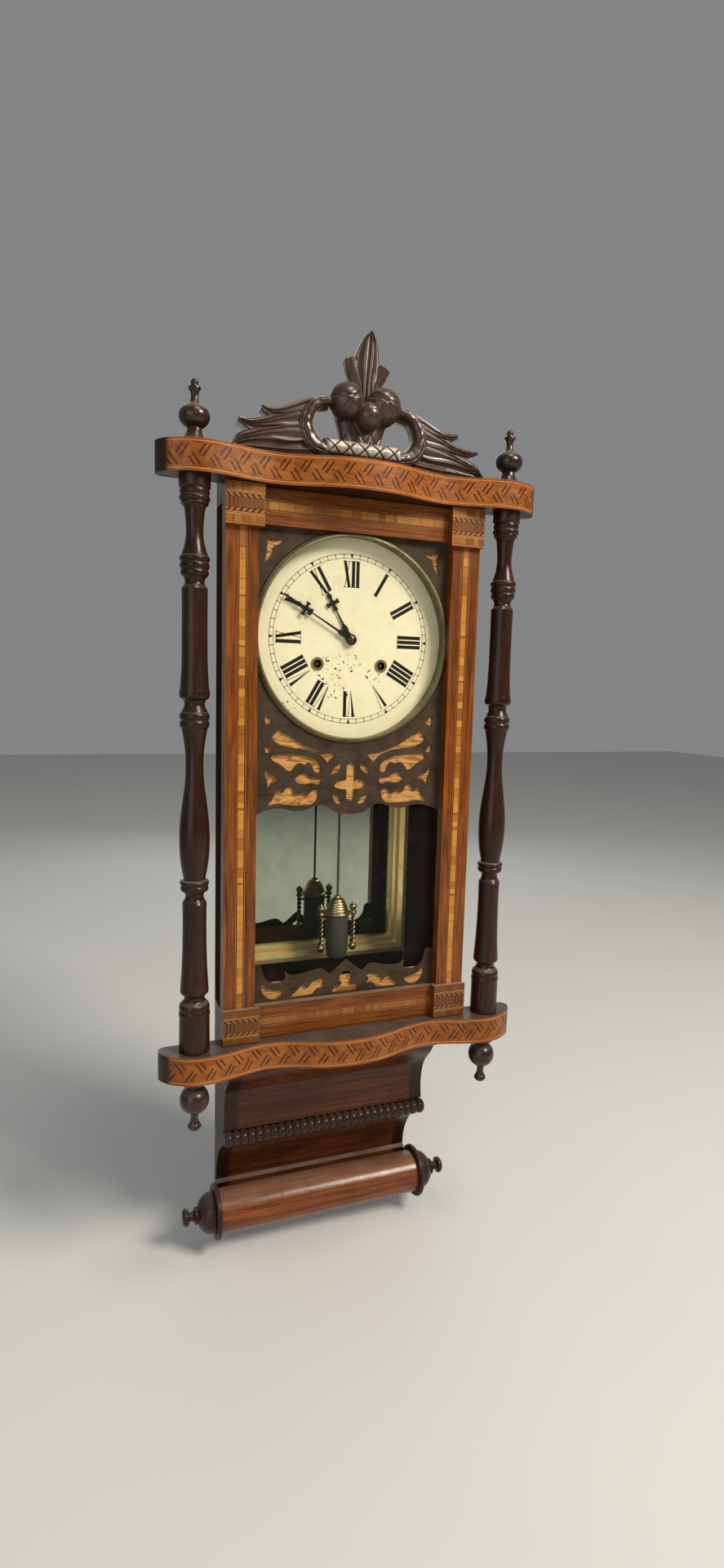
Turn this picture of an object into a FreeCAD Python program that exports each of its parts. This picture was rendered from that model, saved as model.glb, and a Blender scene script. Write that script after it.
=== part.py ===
"""Inlaid wall clock with turned pillars, a carved crest and a bracket below.

Millimetres. X runs to the viewer's right, +Y into the wall, +Z up. The wall is the plane Y = 0 and the
origin is the centre of the hanger's keyhole. Each node is one piece, written to parts/NODE.step.
"""
import FreeCAD, Part
import math
import os

from FreeCAD import Vector

# ---------------------------------------------------------------- driving dimensions
DIAL_Z = -125.0            # dial centre, below the hanger hole
TRACK_R = 92.0             # outer radius of the minute track

CASE_HALF = 129.5          # half width of the case box
CASE_FRONT = -112.0        # front edge of the case sides
SIDE_T = 12.0
BACK_T = 12.5
TOP_SHELF_TOP = 53.5
TOP_SHELF_UNDER = 23.0
BOTTOM_SHELF_TOP = -565.0
BOTTOM_SHELF_UNDER = -595.5

DOOR_HALF = 144.2          # half width over the stiles
DOOR_OPEN_HALF = 110.0     # half width of the door's opening
DOOR_GAP = 0.7             # between the door and each shelf
STILE_FACE = -129.5
RAIL_FACE = -125.0
BLOCK_FACE = -135.5
OPEN_TOP = -14.0
OPEN_BOTTOM = -528.0
RABBET = 7.0               # how far the rabbet steps back from the opening
RABBET_Y = -117.0          # front wall of the rabbet

PILLAR_X = 175.0
PILLAR_Y = -130.7
DOWEL_R = 5.0
DOWEL_L = 14.0

HINGE_X = 132.2
HINGE_Y = -109.3
HINGE_ZS = (-60.0, -295.0, -520.0)

RING_R = 113.4
RING_WAY_R = 114.3
RING_FRONT = -121.6

HANGER_SCREW_XS = (-18.0, 18.0)

MIRROR_FRONT = -15.5
FRAME_OUT = (-117.0, 117.0, -520.5, -285.0)
FRAME_W = 24.0

DIAL_FACE = -103.8
PLATE_T = 1.6
FRONT_PLATE = -55.0        # front face of the front plate
BACK_PLATE = -22.0         # front face of the back plate

PENDULUM_X = 7.0
PENDULUM_Y = -62.0
PENDULUM_Z = -84.0         # where the suspension flexes
BOB_TOP = -449.3
BOB_BOTTOM = -494.8
BOB_R = 13.7

WIND_X = 37.5
WIND_Z = DIAL_Z - 27.5
MINUTE_ANGLE = -60.0       # from 12 o'clock, clockwise positive
HOUR_ANGLE = -29.5

ROLL_Z = -825.0
ROLL_Y = -36.0
BEAD_Z = -715.3
BEAD_Y = -64.5


# ---------------------------------------------------------------- building helpers
def box(x0, x1, y0, y1, z0, z1):
    """Box between two corners."""
    return Part.makeBox(x1 - x0, y1 - y0, z1 - z0, Vector(x0, y0, z0))


def rod(a, b, radius):
    """Round bar from point a to point b."""
    start = Vector(*a)
    run = Vector(*b) - start
    return Part.makeCylinder(radius, run.Length, start, run)


def y_disc(x, z, radius, y0, y1):
    """Round piece on an axis along Y."""
    return rod((x, y0, z), (x, y1, z), radius)


def y_tube(x, z, outer, inner, y0, y1):
    """Tube on an axis along Y."""
    return y_disc(x, z, outer, y0, y1).cut(y_disc(x, z, inner, y0 - 1, y1 + 1))


def polygon(points):
    """Closed straight-sided wire through 3-D points."""
    corners = [Vector(*p) for p in points]
    return Part.makePolygon(corners + [corners[0]])


def xz_plate(outline, y0, y1):
    """Plate cut to an outline of (x, z) points, between two Y planes."""
    face = Part.Face(polygon([(x, y0, z) for x, z in outline]))
    return face.extrude(Vector(0, y1 - y0, 0))


def xz_curve(outline, y0, y1):
    """Plate cut to a smooth closed outline through (x, z) points."""
    curve = Part.BSplineCurve()
    curve.interpolate([Vector(x, y0, z) for x, z in outline], PeriodicFlag=True)
    face = Part.Face(Part.Wire(curve.toShape()))
    return face.extrude(Vector(0, y1 - y0, 0))


def mirrored(shape):
    """The same piece on the other side of the clock."""
    return shape.mirror(Vector(0, 0, 0), Vector(1, 0, 0))


def both(shape):
    """A left and right pair as two solids."""
    return Part.makeCompound([shape, mirrored(shape)])


def fuse(shapes):
    """One solid from touching pieces."""
    return shapes[0].multiFuse(shapes[1:]).removeSplitter()


def edge_through(start, step):
    """One edge of a turned profile, from (r, z) start, as ("line"|"arc"|"curve", ...)."""
    kind = step[0]
    first = Vector(start[0], 0, start[1])
    if kind == "curve":
        points = [first] + [Vector(r, 0, z) for r, z in step[1]]
        curve = Part.BSplineCurve()
        curve.interpolate(points)
        return curve.toShape(), step[1][-1]
    end = Vector(step[1], 0, step[2])
    if kind == "line":
        return Part.makeLine(first, end), step[1:3]
    run = end - first
    side = Vector(-run.z, 0, run.x).normalize()
    if side.x < 0:
        side = side.negative()
    middle = (first + end) * 0.5 + side * step[3]
    return Part.Arc(first, middle, end).toShape(), step[1:3]


def turned(z_start, r_start, steps):
    """Solid turned about Z from a profile that starts at radius r_start and height z_start."""
    edges = [Part.makeLine(Vector(0, 0, z_start), Vector(r_start, 0, z_start))]
    here = (r_start, z_start)
    for step in steps:
        edge, here = edge_through(here, step)
        edges.append(edge)
    if here[0] > 1e-6:
        edges.append(Part.makeLine(Vector(here[0], 0, here[1]), Vector(0, 0, here[1])))
    edges.append(Part.makeLine(Vector(0, 0, here[1]), Vector(0, 0, z_start)))
    face = Part.Face(Part.Wire(Part.sortEdges(edges)[0]))
    return face.revolve(Vector(0, 0, 0), Vector(0, 0, 1), 360)


def moved(shape, x, y, z):
    """A copy of the shape, shifted."""
    copy = shape.copy()
    copy.translate(Vector(x, y, z))
    return copy


def meeting_point(a, ra, b, rb, side):
    """Arbor that stands ra from point a and rb from point b, on the chosen side of the line a to b."""
    dx, dz = b[0] - a[0], b[1] - a[1]
    gap = math.hypot(dx, dz)
    along = (ra * ra - rb * rb + gap * gap) / (2 * gap)
    off = side * math.sqrt(ra * ra - along * along)
    return (a[0] + (dx * along - dz * off) / gap, a[1] + (dz * along + dx * off) / gap)


# ---------------------------------------------------------------- case
def make_case():
    """Backboard, sides and the two battens each that carry the movement and the dial."""
    board = box(-CASE_HALF, CASE_HALF, -BACK_T, 0, BOTTOM_SHELF_TOP, TOP_SHELF_UNDER)
    pocket = box(-26, 26, -2.2, 1, -12, 16)
    head_room = box(-8, 8, -8, 0, -8, 12)
    side = box(-CASE_HALF, -CASE_HALF + SIDE_T, CASE_FRONT, -BACK_T, BOTTOM_SHELF_TOP, TOP_SHELF_UNDER)
    movement_rail = box(55, 69, BACK_PLATE + PLATE_T, -BACK_T, -206, -54)
    inner = CASE_HALF - SIDE_T
    dial_rails = [box(-inner, inner, -103.0, -91.0, z, z + 12) for z in (DIAL_Z - 92, DIAL_Z + 80)]
    hanger = box(-25, 25, -2, 0, -11, 15).cut(y_disc(0, 0, 5.0, -3, 1))
    hanger = hanger.cut(box(-2.2, 2.2, -3, 1, 0, 9)).cut(y_disc(0, 9, 2.2, -3, 1))
    for x in HANGER_SCREW_XS:
        screw_way = y_disc(x, 0, 1.45, -10, 1)
        hanger = hanger.cut(screw_way)
        board = board.cut(screw_way)
    return {
        "backboard": board.cut(pocket).cut(head_room),
        "side_left": side,
        "side_right": mirrored(side),
        "inner_rails": Part.makeCompound([movement_rail, mirrored(movement_rail)] + dial_rails),
        "hanger_plate": hanger,
    }


def shelf_front():
    """Half of the serpentine front edge, from the centre to the end, as (x, y) points."""
    return [(0, -159.8), (35, -155.4), (66.5, -144.6), (102, -139.6), (143, -149.5), (172, -152.8),
            (194, -145.5)]


def make_shelf(z_low, z_high):
    """Serpentine shelf: full depth as wide as the case, with wings that carry the pillars."""
    right = shelf_front()
    points = [(-x, y) for x, y in reversed(right[1:])] + right
    curve = Part.BSplineCurve()
    curve.interpolate([Vector(x, y, z_low) for x, y in points])
    end_x, end_y = right[-1]
    tip, heel, wing_back = (212.0, -125.5), (203.0, -115.0), -115.0
    arcs = []
    for s in (1, -1):
        arcs.append(Part.Arc(Vector(s * end_x, end_y, z_low), Vector(s * 205.5, -137.0, z_low),
                             Vector(s * tip[0], tip[1], z_low)).toShape())
        arcs.append(Part.Arc(Vector(s * tip[0], tip[1], z_low), Vector(s * 209.8, -117.8, z_low),
                             Vector(s * heel[0], heel[1], z_low)).toShape())
        corners = [(heel[0], wing_back), (CASE_HALF, wing_back), (CASE_HALF, 0)]
        for a, b in zip(corners, corners[1:]):
            arcs.append(Part.makeLine(Vector(s * a[0], a[1], z_low), Vector(s * b[0], b[1], z_low)))
    arcs.append(Part.makeLine(Vector(-CASE_HALF, 0, z_low), Vector(CASE_HALF, 0, z_low)))
    outline = Part.Wire(Part.sortEdges([curve.toShape()] + arcs)[0])
    shelf = Part.Face(outline).extrude(Vector(0, 0, z_high - z_low))
    for x in (-PILLAR_X, PILLAR_X):
        shelf = shelf.cut(rod((x, PILLAR_Y, z_low - 1), (x, PILLAR_Y, z_high + 1), DOWEL_R + 0.05))
    return shelf


def pillar_profile():
    """Turned pillar from the bottom shelf up, as heights and radii in the clock's frame."""
    return [
        ("line", 15.8, -526.5), ("arc", 15.4, -519.5, 0.7), ("arc", 14.6, -512.5, 0.9),
        ("line", 12.6, -510.5),
        ("arc", 12.8, -502.2, -2.1), ("arc", 14.8, -498, 0.7),
        ("curve", [(14.3, -490), (13.4, -476), (12.6, -455), (12.2, -430), (12.3, -412), (12.5, -404)]),
        ("line", 11.2, -401.5), ("arc", 11.4, -391.5, -2.0), ("line", 13.2, -391),
        ("arc", 13.4, -385.2, 1.1),
        ("arc", 13.6, -379.6, 1.4), ("line", 11.0, -378.8),
        ("curve", [(12.2, -372.5), (13.8, -363.5), (15.0, -352), (15.5, -338), (15.0, -323), (13.5, -307.5),
                   (11.3, -290.5), (9.6, -277), (8.9, -260), (9.4, -246.5), (10.9, -234.5),
                   (13.0, -222.8)]),
        ("arc", 13.6, -214.4, 1.6), ("arc", 13.2, -206.2, 1.6), ("line", 12.2, -204),
        ("line", 11.0, -201.5),
        ("arc", 11.2, -194.3, -0.9), ("line", 14.4, -192.2), ("arc", 15.2, -186, 0.5), ("line", 14.3, -181),
        ("curve", [(13.8, -174), (13.1, -160), (12.8, -140), (12.7, -115), (12.8, -92), (12.9, -84.5)]),
        ("line", 11.8, -82.6), ("arc", 12.0, -72.6, -2.2), ("arc", 13.0, -66, 1.4),
        ("arc", 13.2, -58.6, 1.5),
        ("arc", 13.3, -52.6, 1.7),
        ("curve", [(11.0, -46), (9.2, -38.5), (8.4, -29), (8.9, -20), (9.6, -12), (10.6, -6.8),
                   (12.0, -4.6)]),
        ("arc", 13.2, -1.2, 0.9), ("arc", 13.6, 4.6, 1.7), ("arc", 14.0, 10.8, 0.9), ("line", 15.6, 12.6),
        ("line", 15.7, TOP_SHELF_UNDER),
    ]


def make_pillars():
    """The two free-standing turned pillars with a dowel at each end."""
    shaft = turned(BOTTOM_SHELF_TOP, 16.2, pillar_profile())
    top = rod((0, 0, TOP_SHELF_UNDER), (0, 0, TOP_SHELF_UNDER + DOWEL_L), DOWEL_R)
    foot = rod((0, 0, BOTTOM_SHELF_TOP - DOWEL_L), (0, 0, BOTTOM_SHELF_TOP), DOWEL_R)
    pillar = moved(fuse([shaft, top, foot]), PILLAR_X, PILLAR_Y, 0)
    return {"pillar_left": mirrored(pillar), "pillar_right": pillar}


def make_finials():
    """Ball finials above the top shelf and drop finials below the bottom one."""
    upper = turned(0, 11.5, [
        ("arc", 11.0, 4.0, 0.8), ("line", 9.6, 6.5), ("curve", [(8.0, 10.0), (7.3, 13.2)]),
        ("line", 7.9, 14.2),
        ("curve", [(11.2, 16.4), (14.4, 20.2), (15.5, 25.4), (13.6, 30.6), (9.0, 34.4), (6.2, 36.4)]),
        ("line", 5.0, 37.2), ("curve", [(3.9, 41.0), (3.8, 44.5), (4.8, 48.2), (6.4, 50.2)]),
        ("line", 6.3, 51.6),
        ("line", 4.0, 52.6), ("curve", [(3.8, 54.6), (4.0, 56.2), (2.8, 58.6), (0.0, 60.4)]),
    ])
    lower = turned(0, 13.6, [
        ("arc", 13.4, -6.6, 0.8), ("line", 8.4, -9.0), ("line", 7.3, -12.0),
        ("curve", [(11.6, -14.6), (15.0, -20.6), (15.6, -27.0), (13.8, -33.0), (8.8, -38.4), (5.0, -40.8)]),
        ("curve", [(4.0, -45.0), (4.4, -49.4), (6.4, -53.4)]), ("line", 7.2, -55.4),
        ("curve", [(6.6, -57.6), (3.4, -60.4), (0.0, -61.8)]),
    ])
    upper = fuse([upper, rod((0, 0, -DOWEL_L), (0, 0, 0), DOWEL_R)])
    lower = fuse([lower, rod((0, 0, 0), (0, 0, DOWEL_L), DOWEL_R)])
    return {
        "finials_upper": both(moved(upper, PILLAR_X, PILLAR_Y, TOP_SHELF_TOP)),
        "finials_lower": both(moved(lower, PILLAR_X, PILLAR_Y, BOTTOM_SHELF_UNDER)),
    }


def make_crest():
    """Pierced carved crest: base bar, two scroll rings, basket, three balls, top leaf and side leaves."""
    front, back = -141.0, -118.0
    base = box(-46, 46, front, back, TOP_SHELF_TOP, 74.5)
    leaf_right = [(52, 116), (66, 113.5), (80, 107), (90, 101), (104.5, 98.2), (100, 92), (93, 88),
                  (110, 85.5),
                  (130, 81.6), (124, 74.5), (134, 71), (140, 65), (142.5, TOP_SHELF_TOP),
                  (50, TOP_SHELF_TOP)]
    leaf = xz_plate(leaf_right, front + 3, back)
    ring = y_disc(44, 88, 29.5, front, back).cut(y_disc(41, 89.5, 16.2, front - 1, back + 1))
    below = box(0, 100, front - 1, back + 1, 40, TOP_SHELF_TOP)
    basket = xz_plate([(-23, 74), (-27, 86), (-38, 104), (38, 104), (27, 86), (23, 74)], front + 2, back)
    ball = Part.makeSphere(17.5, Vector(21, -131.0, 117.5))
    middle = Part.makeSphere(14.0, Vector(0, -139.5, 102.0))
    top = xz_plate([(-13, 128), (-20, 146), (-22.5, 158), (-10.6, 161), (-9, 174), (-2, 185), (2, 187.7),
                    (5, 185),
                    (11, 174), (13.5, 160), (25, 152), (16, 132), (14, 128)], -136, -120)
    pieces = [base, basket, middle, top]
    for piece in (leaf, ring.cut(below), ball):
        pieces += [piece, mirrored(piece)]
    return {"crest": fuse(pieces)}


def yz_prism(outline, half):
    """Moulding run along X with a section of (kind, ...) steps, as points or arcs in (y, z)."""
    edges = []
    here = outline[0]
    for step in outline[1:]:
        start = Vector(-half, here[0], here[1])
        if step[0] == "curve":
            curve = Part.BSplineCurve()
            curve.interpolate([start] + [Vector(-half, y, z) for y, z in step[1]])
            edges.append(curve.toShape())
            here = step[1][-1]
        else:
            edges.append(Part.makeLine(start, Vector(-half, step[1], step[2])))
            here = step[1:3]
    first = Vector(-half, outline[0][0], outline[0][1])
    edges.append(Part.makeLine(Vector(-half, here[0], here[1]), first))
    face = Part.Face(Part.Wire(Part.sortEdges(edges)[0]))
    return face.extrude(Vector(2 * half, 0, 0))


def make_bracket():
    """Bracket under the case: slab, two veneered coves, ribbed bead, roll and turned roll ends."""
    slab_low = -618.5
    slab = yz_prism([(0, BOTTOM_SHELF_UNDER), ("line", -107, BOTTOM_SHELF_UNDER), ("line", -107, -606),
                     ("curve", [(-104.5, -612), (-98, slab_low)]), ("line", 0, slab_low)], CASE_HALF)
    bead_top, bead_low = BEAD_Z + 9.3, BEAD_Z - 9.3
    upper = yz_prism([(0, slab_low), ("line", -93, slab_low),
                      ("curve", [(-84, -634), (-68.5, -652), (-61.5, -670), (-59.5, -687),
                                 (-62, bead_top)]),
                      ("line", -56, bead_top), ("line", -56, bead_low), ("line", 0, bead_low)],
                      CASE_HALF - 0.5)
    lower = yz_prism([(0, bead_low), ("line", -60, bead_low),
                      ("curve", [(-46, -735), (-30, -749), (-18, -767), (-11.7, -783), (-9.5, -800)]),
                      ("line", -14, -803), ("line", -14, -846), ("line", 0, -846)], CASE_HALF - 0.5)
    ribs = 28
    pitch = 2 * CASE_HALF / ribs
    bead_steps = []
    for i in range(ribs):
        bead_steps.append(("arc", 7.2, (i + 1) * pitch, 2.0))
    bead = turned(0, 7.2, bead_steps)
    bead.rotate(Vector(0, 0, 0), Vector(0, 1, 0), 90)
    bead = moved(bead, -CASE_HALF, BEAD_Y, BEAD_Z)
    bead = bead.common(box(-200, 200, -200, -56, bead_low, bead_top))
    roll = rod((-131, ROLL_Y, ROLL_Z), (131, ROLL_Y, ROLL_Z), 25.7)
    lower = lower.cut(roll)
    end = turned(0, 31.0, [
        ("arc", 31.0, 5.5, 1.6), ("line", 24.5, 6.0), ("arc", 24.0, 9.0, 0.8),
        ("curve", [(22.5, 14.5), (18.0, 20.5), (10.5, 25.0)]), ("line", 9.5, 26.5), ("arc", 9.0, 29.0, 1.0),
        ("curve", [(6.0, 31.0), (5.2, 34.0), (7.0, 36.5)]),
        ("curve", [(10.2, 38.6), (9.6, 41.6), (5.0, 43.6)]),
        ("line", 0.0, 44.4),
    ])
    end.rotate(Vector(0, 0, 0), Vector(0, 1, 0), 90)
    return {
        "bracket_slab": slab, "bracket_upper": upper, "bracket_lower": lower, "bracket_bead": bead,
        "roll": roll, "roll_ends": both(moved(end, 131, ROLL_Y, ROLL_Z)),
    }


def make_mirror():
    """Mirror on the backboard and the gilt moulding, mitred at its corners, that frames it."""
    left, right, low, high = FRAME_OUT
    lip = 4.0
    mirror = box(left + FRAME_W - lip, right - FRAME_W + lip, MIRROR_FRONT, -BACK_T,
                 low + FRAME_W - lip, high - FRAME_W + lip)
    section = [(0, -BACK_T), (0, -21), (3, -25.5), (9, -28.5), (15, -27), (17.5, -22.5), (19, -24.5),
               (22, -24),
               (FRAME_W, -20.5), (FRAME_W, MIRROR_FRONT - 0.05), (FRAME_W - lip - 0.1, MIRROR_FRONT - 0.05),
               (FRAME_W - lip - 0.1, -BACK_T)]
    bars = []
    mid_x, mid_z = (left + right) / 2, (low + high) / 2
    half_w, half_h = (right - left) / 2, (high - low) / 2
    for angle, reach, length in ((0, half_h, half_w), (90, half_w, half_h), (180, half_h, half_w),
                                 (270, half_w, half_h)):
        corners = [(-length, y, -reach + s) for s, y in section]
        bar = Part.Face(polygon(corners)).extrude(Vector(2 * length, 0, 0))
        wedge = polygon([(-length, -60, -reach), (length, -60, -reach),
                         (length - 60, -60, -reach + 60), (-length + 60, -60, -reach + 60)])
        bar = bar.common(Part.Face(wedge).extrude(Vector(0, 60, 0)))
        bar.rotate(Vector(0, 0, 0), Vector(0, 1, 0), angle)
        bars.append(moved(bar, mid_x, 0, mid_z))
    return {"mirror": mirror, "gilt_frame": Part.makeCompound(bars)}


# ---------------------------------------------------------------- door
def make_door_frame():
    """Stiles, rails and the raised corner blocks, with a rabbet round the opening for glass and frets.

    The dial ring is a little wider than the opening, so the wood behind the face is scooped out round it."""
    top, low = TOP_SHELF_UNDER - DOOR_GAP, BOTTOM_SHELF_TOP + DOOR_GAP
    block_in, block_out = 105.4, 145.6
    block_top_low, block_low_top = -19.0, -525.8
    rabbet_half = DOOR_OPEN_HALF + RABBET
    rabbet = box(-rabbet_half, rabbet_half, RABBET_Y, 0, OPEN_BOTTOM - RABBET, OPEN_TOP + RABBET)
    opening = box(-DOOR_OPEN_HALF, DOOR_OPEN_HALF, -200, 0, OPEN_BOTTOM, OPEN_TOP)
    scoop = y_disc(0, DIAL_Z, RING_WAY_R, RING_FRONT - 0.6, CASE_FRONT + 1)
    stile = box(DOOR_OPEN_HALF, DOOR_HALF, STILE_FACE, CASE_FRONT, low, top).cut(rabbet).cut(scoop)
    rail_top = box(-DOOR_OPEN_HALF, DOOR_OPEN_HALF, RAIL_FACE, CASE_FRONT, OPEN_TOP,
                   top).cut(rabbet).cut(scoop)
    rail_low = box(-DOOR_OPEN_HALF, DOOR_OPEN_HALF, RAIL_FACE, CASE_FRONT, low, OPEN_BOTTOM).cut(rabbet)
    blocks = []
    for z0, z1 in ((block_top_low, top), (low, block_low_top)):
        block = box(block_in, block_out, BLOCK_FACE, RAIL_FACE, z0, z1)
        block = block.cut(box(DOOR_OPEN_HALF, DOOR_HALF, STILE_FACE, 0, -700, 100))
        slot = box(DOOR_HALF, 200, STILE_FACE, 0, -700, 100)
        blocks.append(block.cut(slot).cut(opening.cut(box(-300, 300, -300, RAIL_FACE - 0.01, -700, 100))))
    return {
        "door_stile_left": mirrored(stile), "door_stile_right": stile,
        "door_rail_top": rail_top, "door_rail_bottom": rail_low,
        "corner_blocks": Part.makeCompound([both(b) for b in blocks]),
    }


def fret_cuts_upper():
    """Right-hand piercings of the upper fret: smooth leaf shapes, then straight-sided ones."""
    smooth = [
        [(90, -251), (74, -251), (58, -252), (46, -255.5), (38, -260.5), (35, -266), (36, -270.5),
         (42, -271),
         (45, -264), (50, -260.5), (54, -262.5), (58, -260.5), (62, -261.5), (66, -266), (69, -269.5),
         (76, -266.5), (84, -260.5), (91.5, -254)],
        [(97, -303.5), (88, -297), (83, -290), (79, -293), (74, -287.5), (68, -287), (65, -293),
         (60, -295.5),
         (56, -293.5), (50, -296.5), (45, -291), (39, -291), (37.5, -298), (43, -305.5), (54, -307.5),
         (72, -306.5),
         (88, -305.5), (95, -305.2)],
        [(35.5, -277.5), (44, -276.8), (50, -274.5), (56, -271.5), (61, -275), (65, -278.5), (60, -282.5),
         (52, -284), (44, -283), (36, -284.2)],
    ]
    pointed = [
        [(83, -224), (79.5, -228), (72, -231), (64, -236), (56, -240.8), (48, -243.8), (40, -246.8),
         (35, -249),
         (18, -251.5), (27.5, -260.5), (32, -255), (36, -251.5), (42, -248.9), (50, -246.2), (60, -245),
         (72, -243.6), (80, -241.6), (86.5, -238), (91, -232.5), (87, -228)],
        [(89, -216), (99, -206.5), (98, -219.5)],
        [(91, -249.5), (93, -244.5), (99, -239.5), (98, -249)],
        [(97, -265), (93, -273), (80, -279), (90, -281.5), (95, -288.5), (95.5, -280), (98.5, -272)],
        [(10, -261), (15, -262.5), (20, -266.5), (23.8, -275), (15.5, -271), (11.5, -267)],
        [(23, -295.5), (13.5, -298.5), (7.5, -309.3), (17, -306)],
        [(80, -25), (90, -28), (101, -24), (98, -31), (99, -42), (101, -51), (94, -44), (91, -34),
         (84, -30)],
    ]
    return smooth, pointed


def fret_lower_edge():
    """Right half of the upper fret's lower edge, centre to side."""
    return [(0, -318.5), (10, -317.6), (19, -315), (27, -309.5), (30, -308), (38, -307.6), (50, -311.5),
            (63, -313.2), (78, -310), (92, -310.4), (103, -314), (117, -321.5)]


def xz_spline_edge(points, y):
    """Smooth edge through (x, z) points at one Y."""
    curve = Part.BSplineCurve()
    curve.interpolate([Vector(x, y, z) for x, z in points])
    return curve.toShape()


def fret_board(wave, flat_z, y0, y1):
    """Board with one straight edge at flat_z and a symmetric wavy edge given by its right half."""
    half = wave[-1][0]
    edges = []
    for s in (1, -1):
        edges.append(xz_spline_edge([(s * x, z) for x, z in wave], y0))
        edges.append(Part.makeLine(Vector(s * half, y0, wave[-1][1]), Vector(s * half, y0, flat_z)))
    edges.append(Part.makeLine(Vector(-half, y0, flat_z), Vector(half, y0, flat_z)))
    return Part.Face(Part.Wire(Part.sortEdges(edges)[0])).extrude(Vector(0, y1 - y0, 0))


def make_frets():
    """Two pierced frets let into the door's rabbet, the fabric behind each, and the pane behind those."""
    front, back = -116.9, -114.9
    cloth_front, cloth_back = -114.8, -114.3
    glass_front, glass_back = -112.9, -110.9
    half = DOOR_OPEN_HALF + RABBET - 0.3
    wave = [p for p in fret_lower_edge()[:-1]] + [(half, -321.5)]
    top = OPEN_TOP + RABBET - 0.3
    upper = fret_board(wave, top, front, back)
    smooth, pointed = fret_cuts_upper()
    cutters = [xz_curve(c, front - 1, back + 1) for c in smooth]
    cutters += [xz_plate(c, front - 1, back + 1) for c in pointed]
    for cutter in cutters:
        upper = upper.cut(cutter).cut(mirrored(cutter))
    upper = upper.cut(y_disc(0, DIAL_Z, RING_WAY_R, front - 1, back + 1))
    for z0, z1, half_w in ((-282, -262, 5.2), (-303, -284, 4.8)):
        upper = upper.cut(box(-half_w, half_w, front - 1, back + 1, z0 + 4, z1 - 4))
        for z in (z0 + 4, z1 - 4):
            upper = upper.cut(y_disc(0, z, half_w, front - 1, back + 1))
    bar = xz_curve([(-19, -285.5), (-14, -281), (0, -279.5), (14, -281), (19, -285.5), (14, -289.5),
                    (0, -290.5),
                    (-14, -289.5)], front - 1, back + 1)
    upper = upper.cut(bar)
    crown = [(0, -487.5), (7, -493), (14, -499), (20, -502.5), (26, -497.5), (36, -495.8), (48, -498.6),
             (60, -500),
             (68, -498.3), (73, -495), (72, -500.5), (77, -506.5), (86, -507), (94, -502), (98, -495),
             (99, -489.5),
             (half, -488)]
    floor = OPEN_BOTTOM - RABBET + 0.3
    lower = fret_board(crown, floor, front, back)
    for cut in ([(26, -508), (34, -508), (42, -512), (47, -517), (51, -513), (58, -518), (66, -525),
                 (50, -525.6),
                 (38, -523.5), (33, -519), (25, -518.5), (28, -513)],
                [(99.5, -508.5), (98, -517), (92, -524), (80, -525), (74, -519), (84, -515), (92, -512)]):
        cutter = xz_curve(cut, front - 1, back + 1)
        lower = lower.cut(cutter).cut(mirrored(cutter))
    lower = lower.cut(y_disc(0, -509, 7.8, front - 1, back + 1))
    lower = lower.cut(xz_plate([(-4, -514), (4, -514), (7, -518.5), (13.5, -518), (17, -525.6),
                                (-17, -525.6),
                                (-13.5, -518), (-7, -518.5)], front - 1, back + 1))
    cloth_top = box(-half + 3, half - 3, cloth_front, cloth_back, -307, DIAL_Z - 70)
    corner = box(78, half - 3, cloth_front, cloth_back, -54, top - 4)
    ring_way = y_disc(0, DIAL_Z, RING_WAY_R + 0.6, cloth_front - 1, cloth_back + 1)
    cloth_top = Part.makeCompound([c.cut(ring_way) for c in (cloth_top, corner, mirrored(corner))])
    cloth_low = box(-half + 3, half - 3, cloth_front, cloth_back, floor + 1, -506.0)
    pane = box(-half, half, glass_front, glass_back, floor, -246.0)
    return {
        "fret_upper": upper, "fret_lower": lower, "fabric_upper": cloth_top, "fabric_lower": cloth_low,
        "door_glass": pane,
    }


def make_hinges():
    """Three butt hinges: the case leaf carries the pin, the door leaf the two outer knuckles."""
    case_leaves, door_leaves = [], []
    pin_r, knuckle_r, leaf_t, half_h = 1.25, 2.2, 1.2, 19.0
    third = 2 * half_h / 3
    for z in HINGE_ZS:
        z0 = z - half_h
        pin = rod((HINGE_X, HINGE_Y, z0 - 1.5), (HINGE_X, HINGE_Y, z + half_h + 1.5), pin_r)
        knuckle = rod((HINGE_X, HINGE_Y, z0 + third + 0.2), (HINGE_X, HINGE_Y, z0 + 2 * third - 0.2),
                      knuckle_r)
        leaf = box(CASE_HALF, CASE_HALF + leaf_t, HINGE_Y + 3.0, HINGE_Y + 20, z0, z + half_h)
        web = box(CASE_HALF, HINGE_X - 0.9, HINGE_Y + 0.4, HINGE_Y + 3.0, z0 + third + 0.2,
                  z0 + 2 * third - 0.2)
        case_leaves.append(fuse([pin, knuckle, leaf, web]))
        plate = box(HINGE_X + 2.6, DOOR_HALF - 2, CASE_FRONT, CASE_FRONT + leaf_t, z0, z + half_h)
        parts = [plate]
        for a in (z0, z0 + 2 * third):
            tube = rod((HINGE_X, HINGE_Y, a), (HINGE_X, HINGE_Y, a + third), knuckle_r)
            web = box(HINGE_X + 1.5, HINGE_X + 2.6, CASE_FRONT, HINGE_Y, a, a + third)
            parts += [tube, web]
        door_leaves.append(fuse(parts).cut(rod((HINGE_X, HINGE_Y, z0 - 3),
                                               (HINGE_X, HINGE_Y, z + half_h + 3), pin_r + 0.05)))
    return {"case_hinge_leaves": Part.makeCompound(case_leaves),
            "door_hinge_leaves": Part.makeCompound(door_leaves)}


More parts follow.
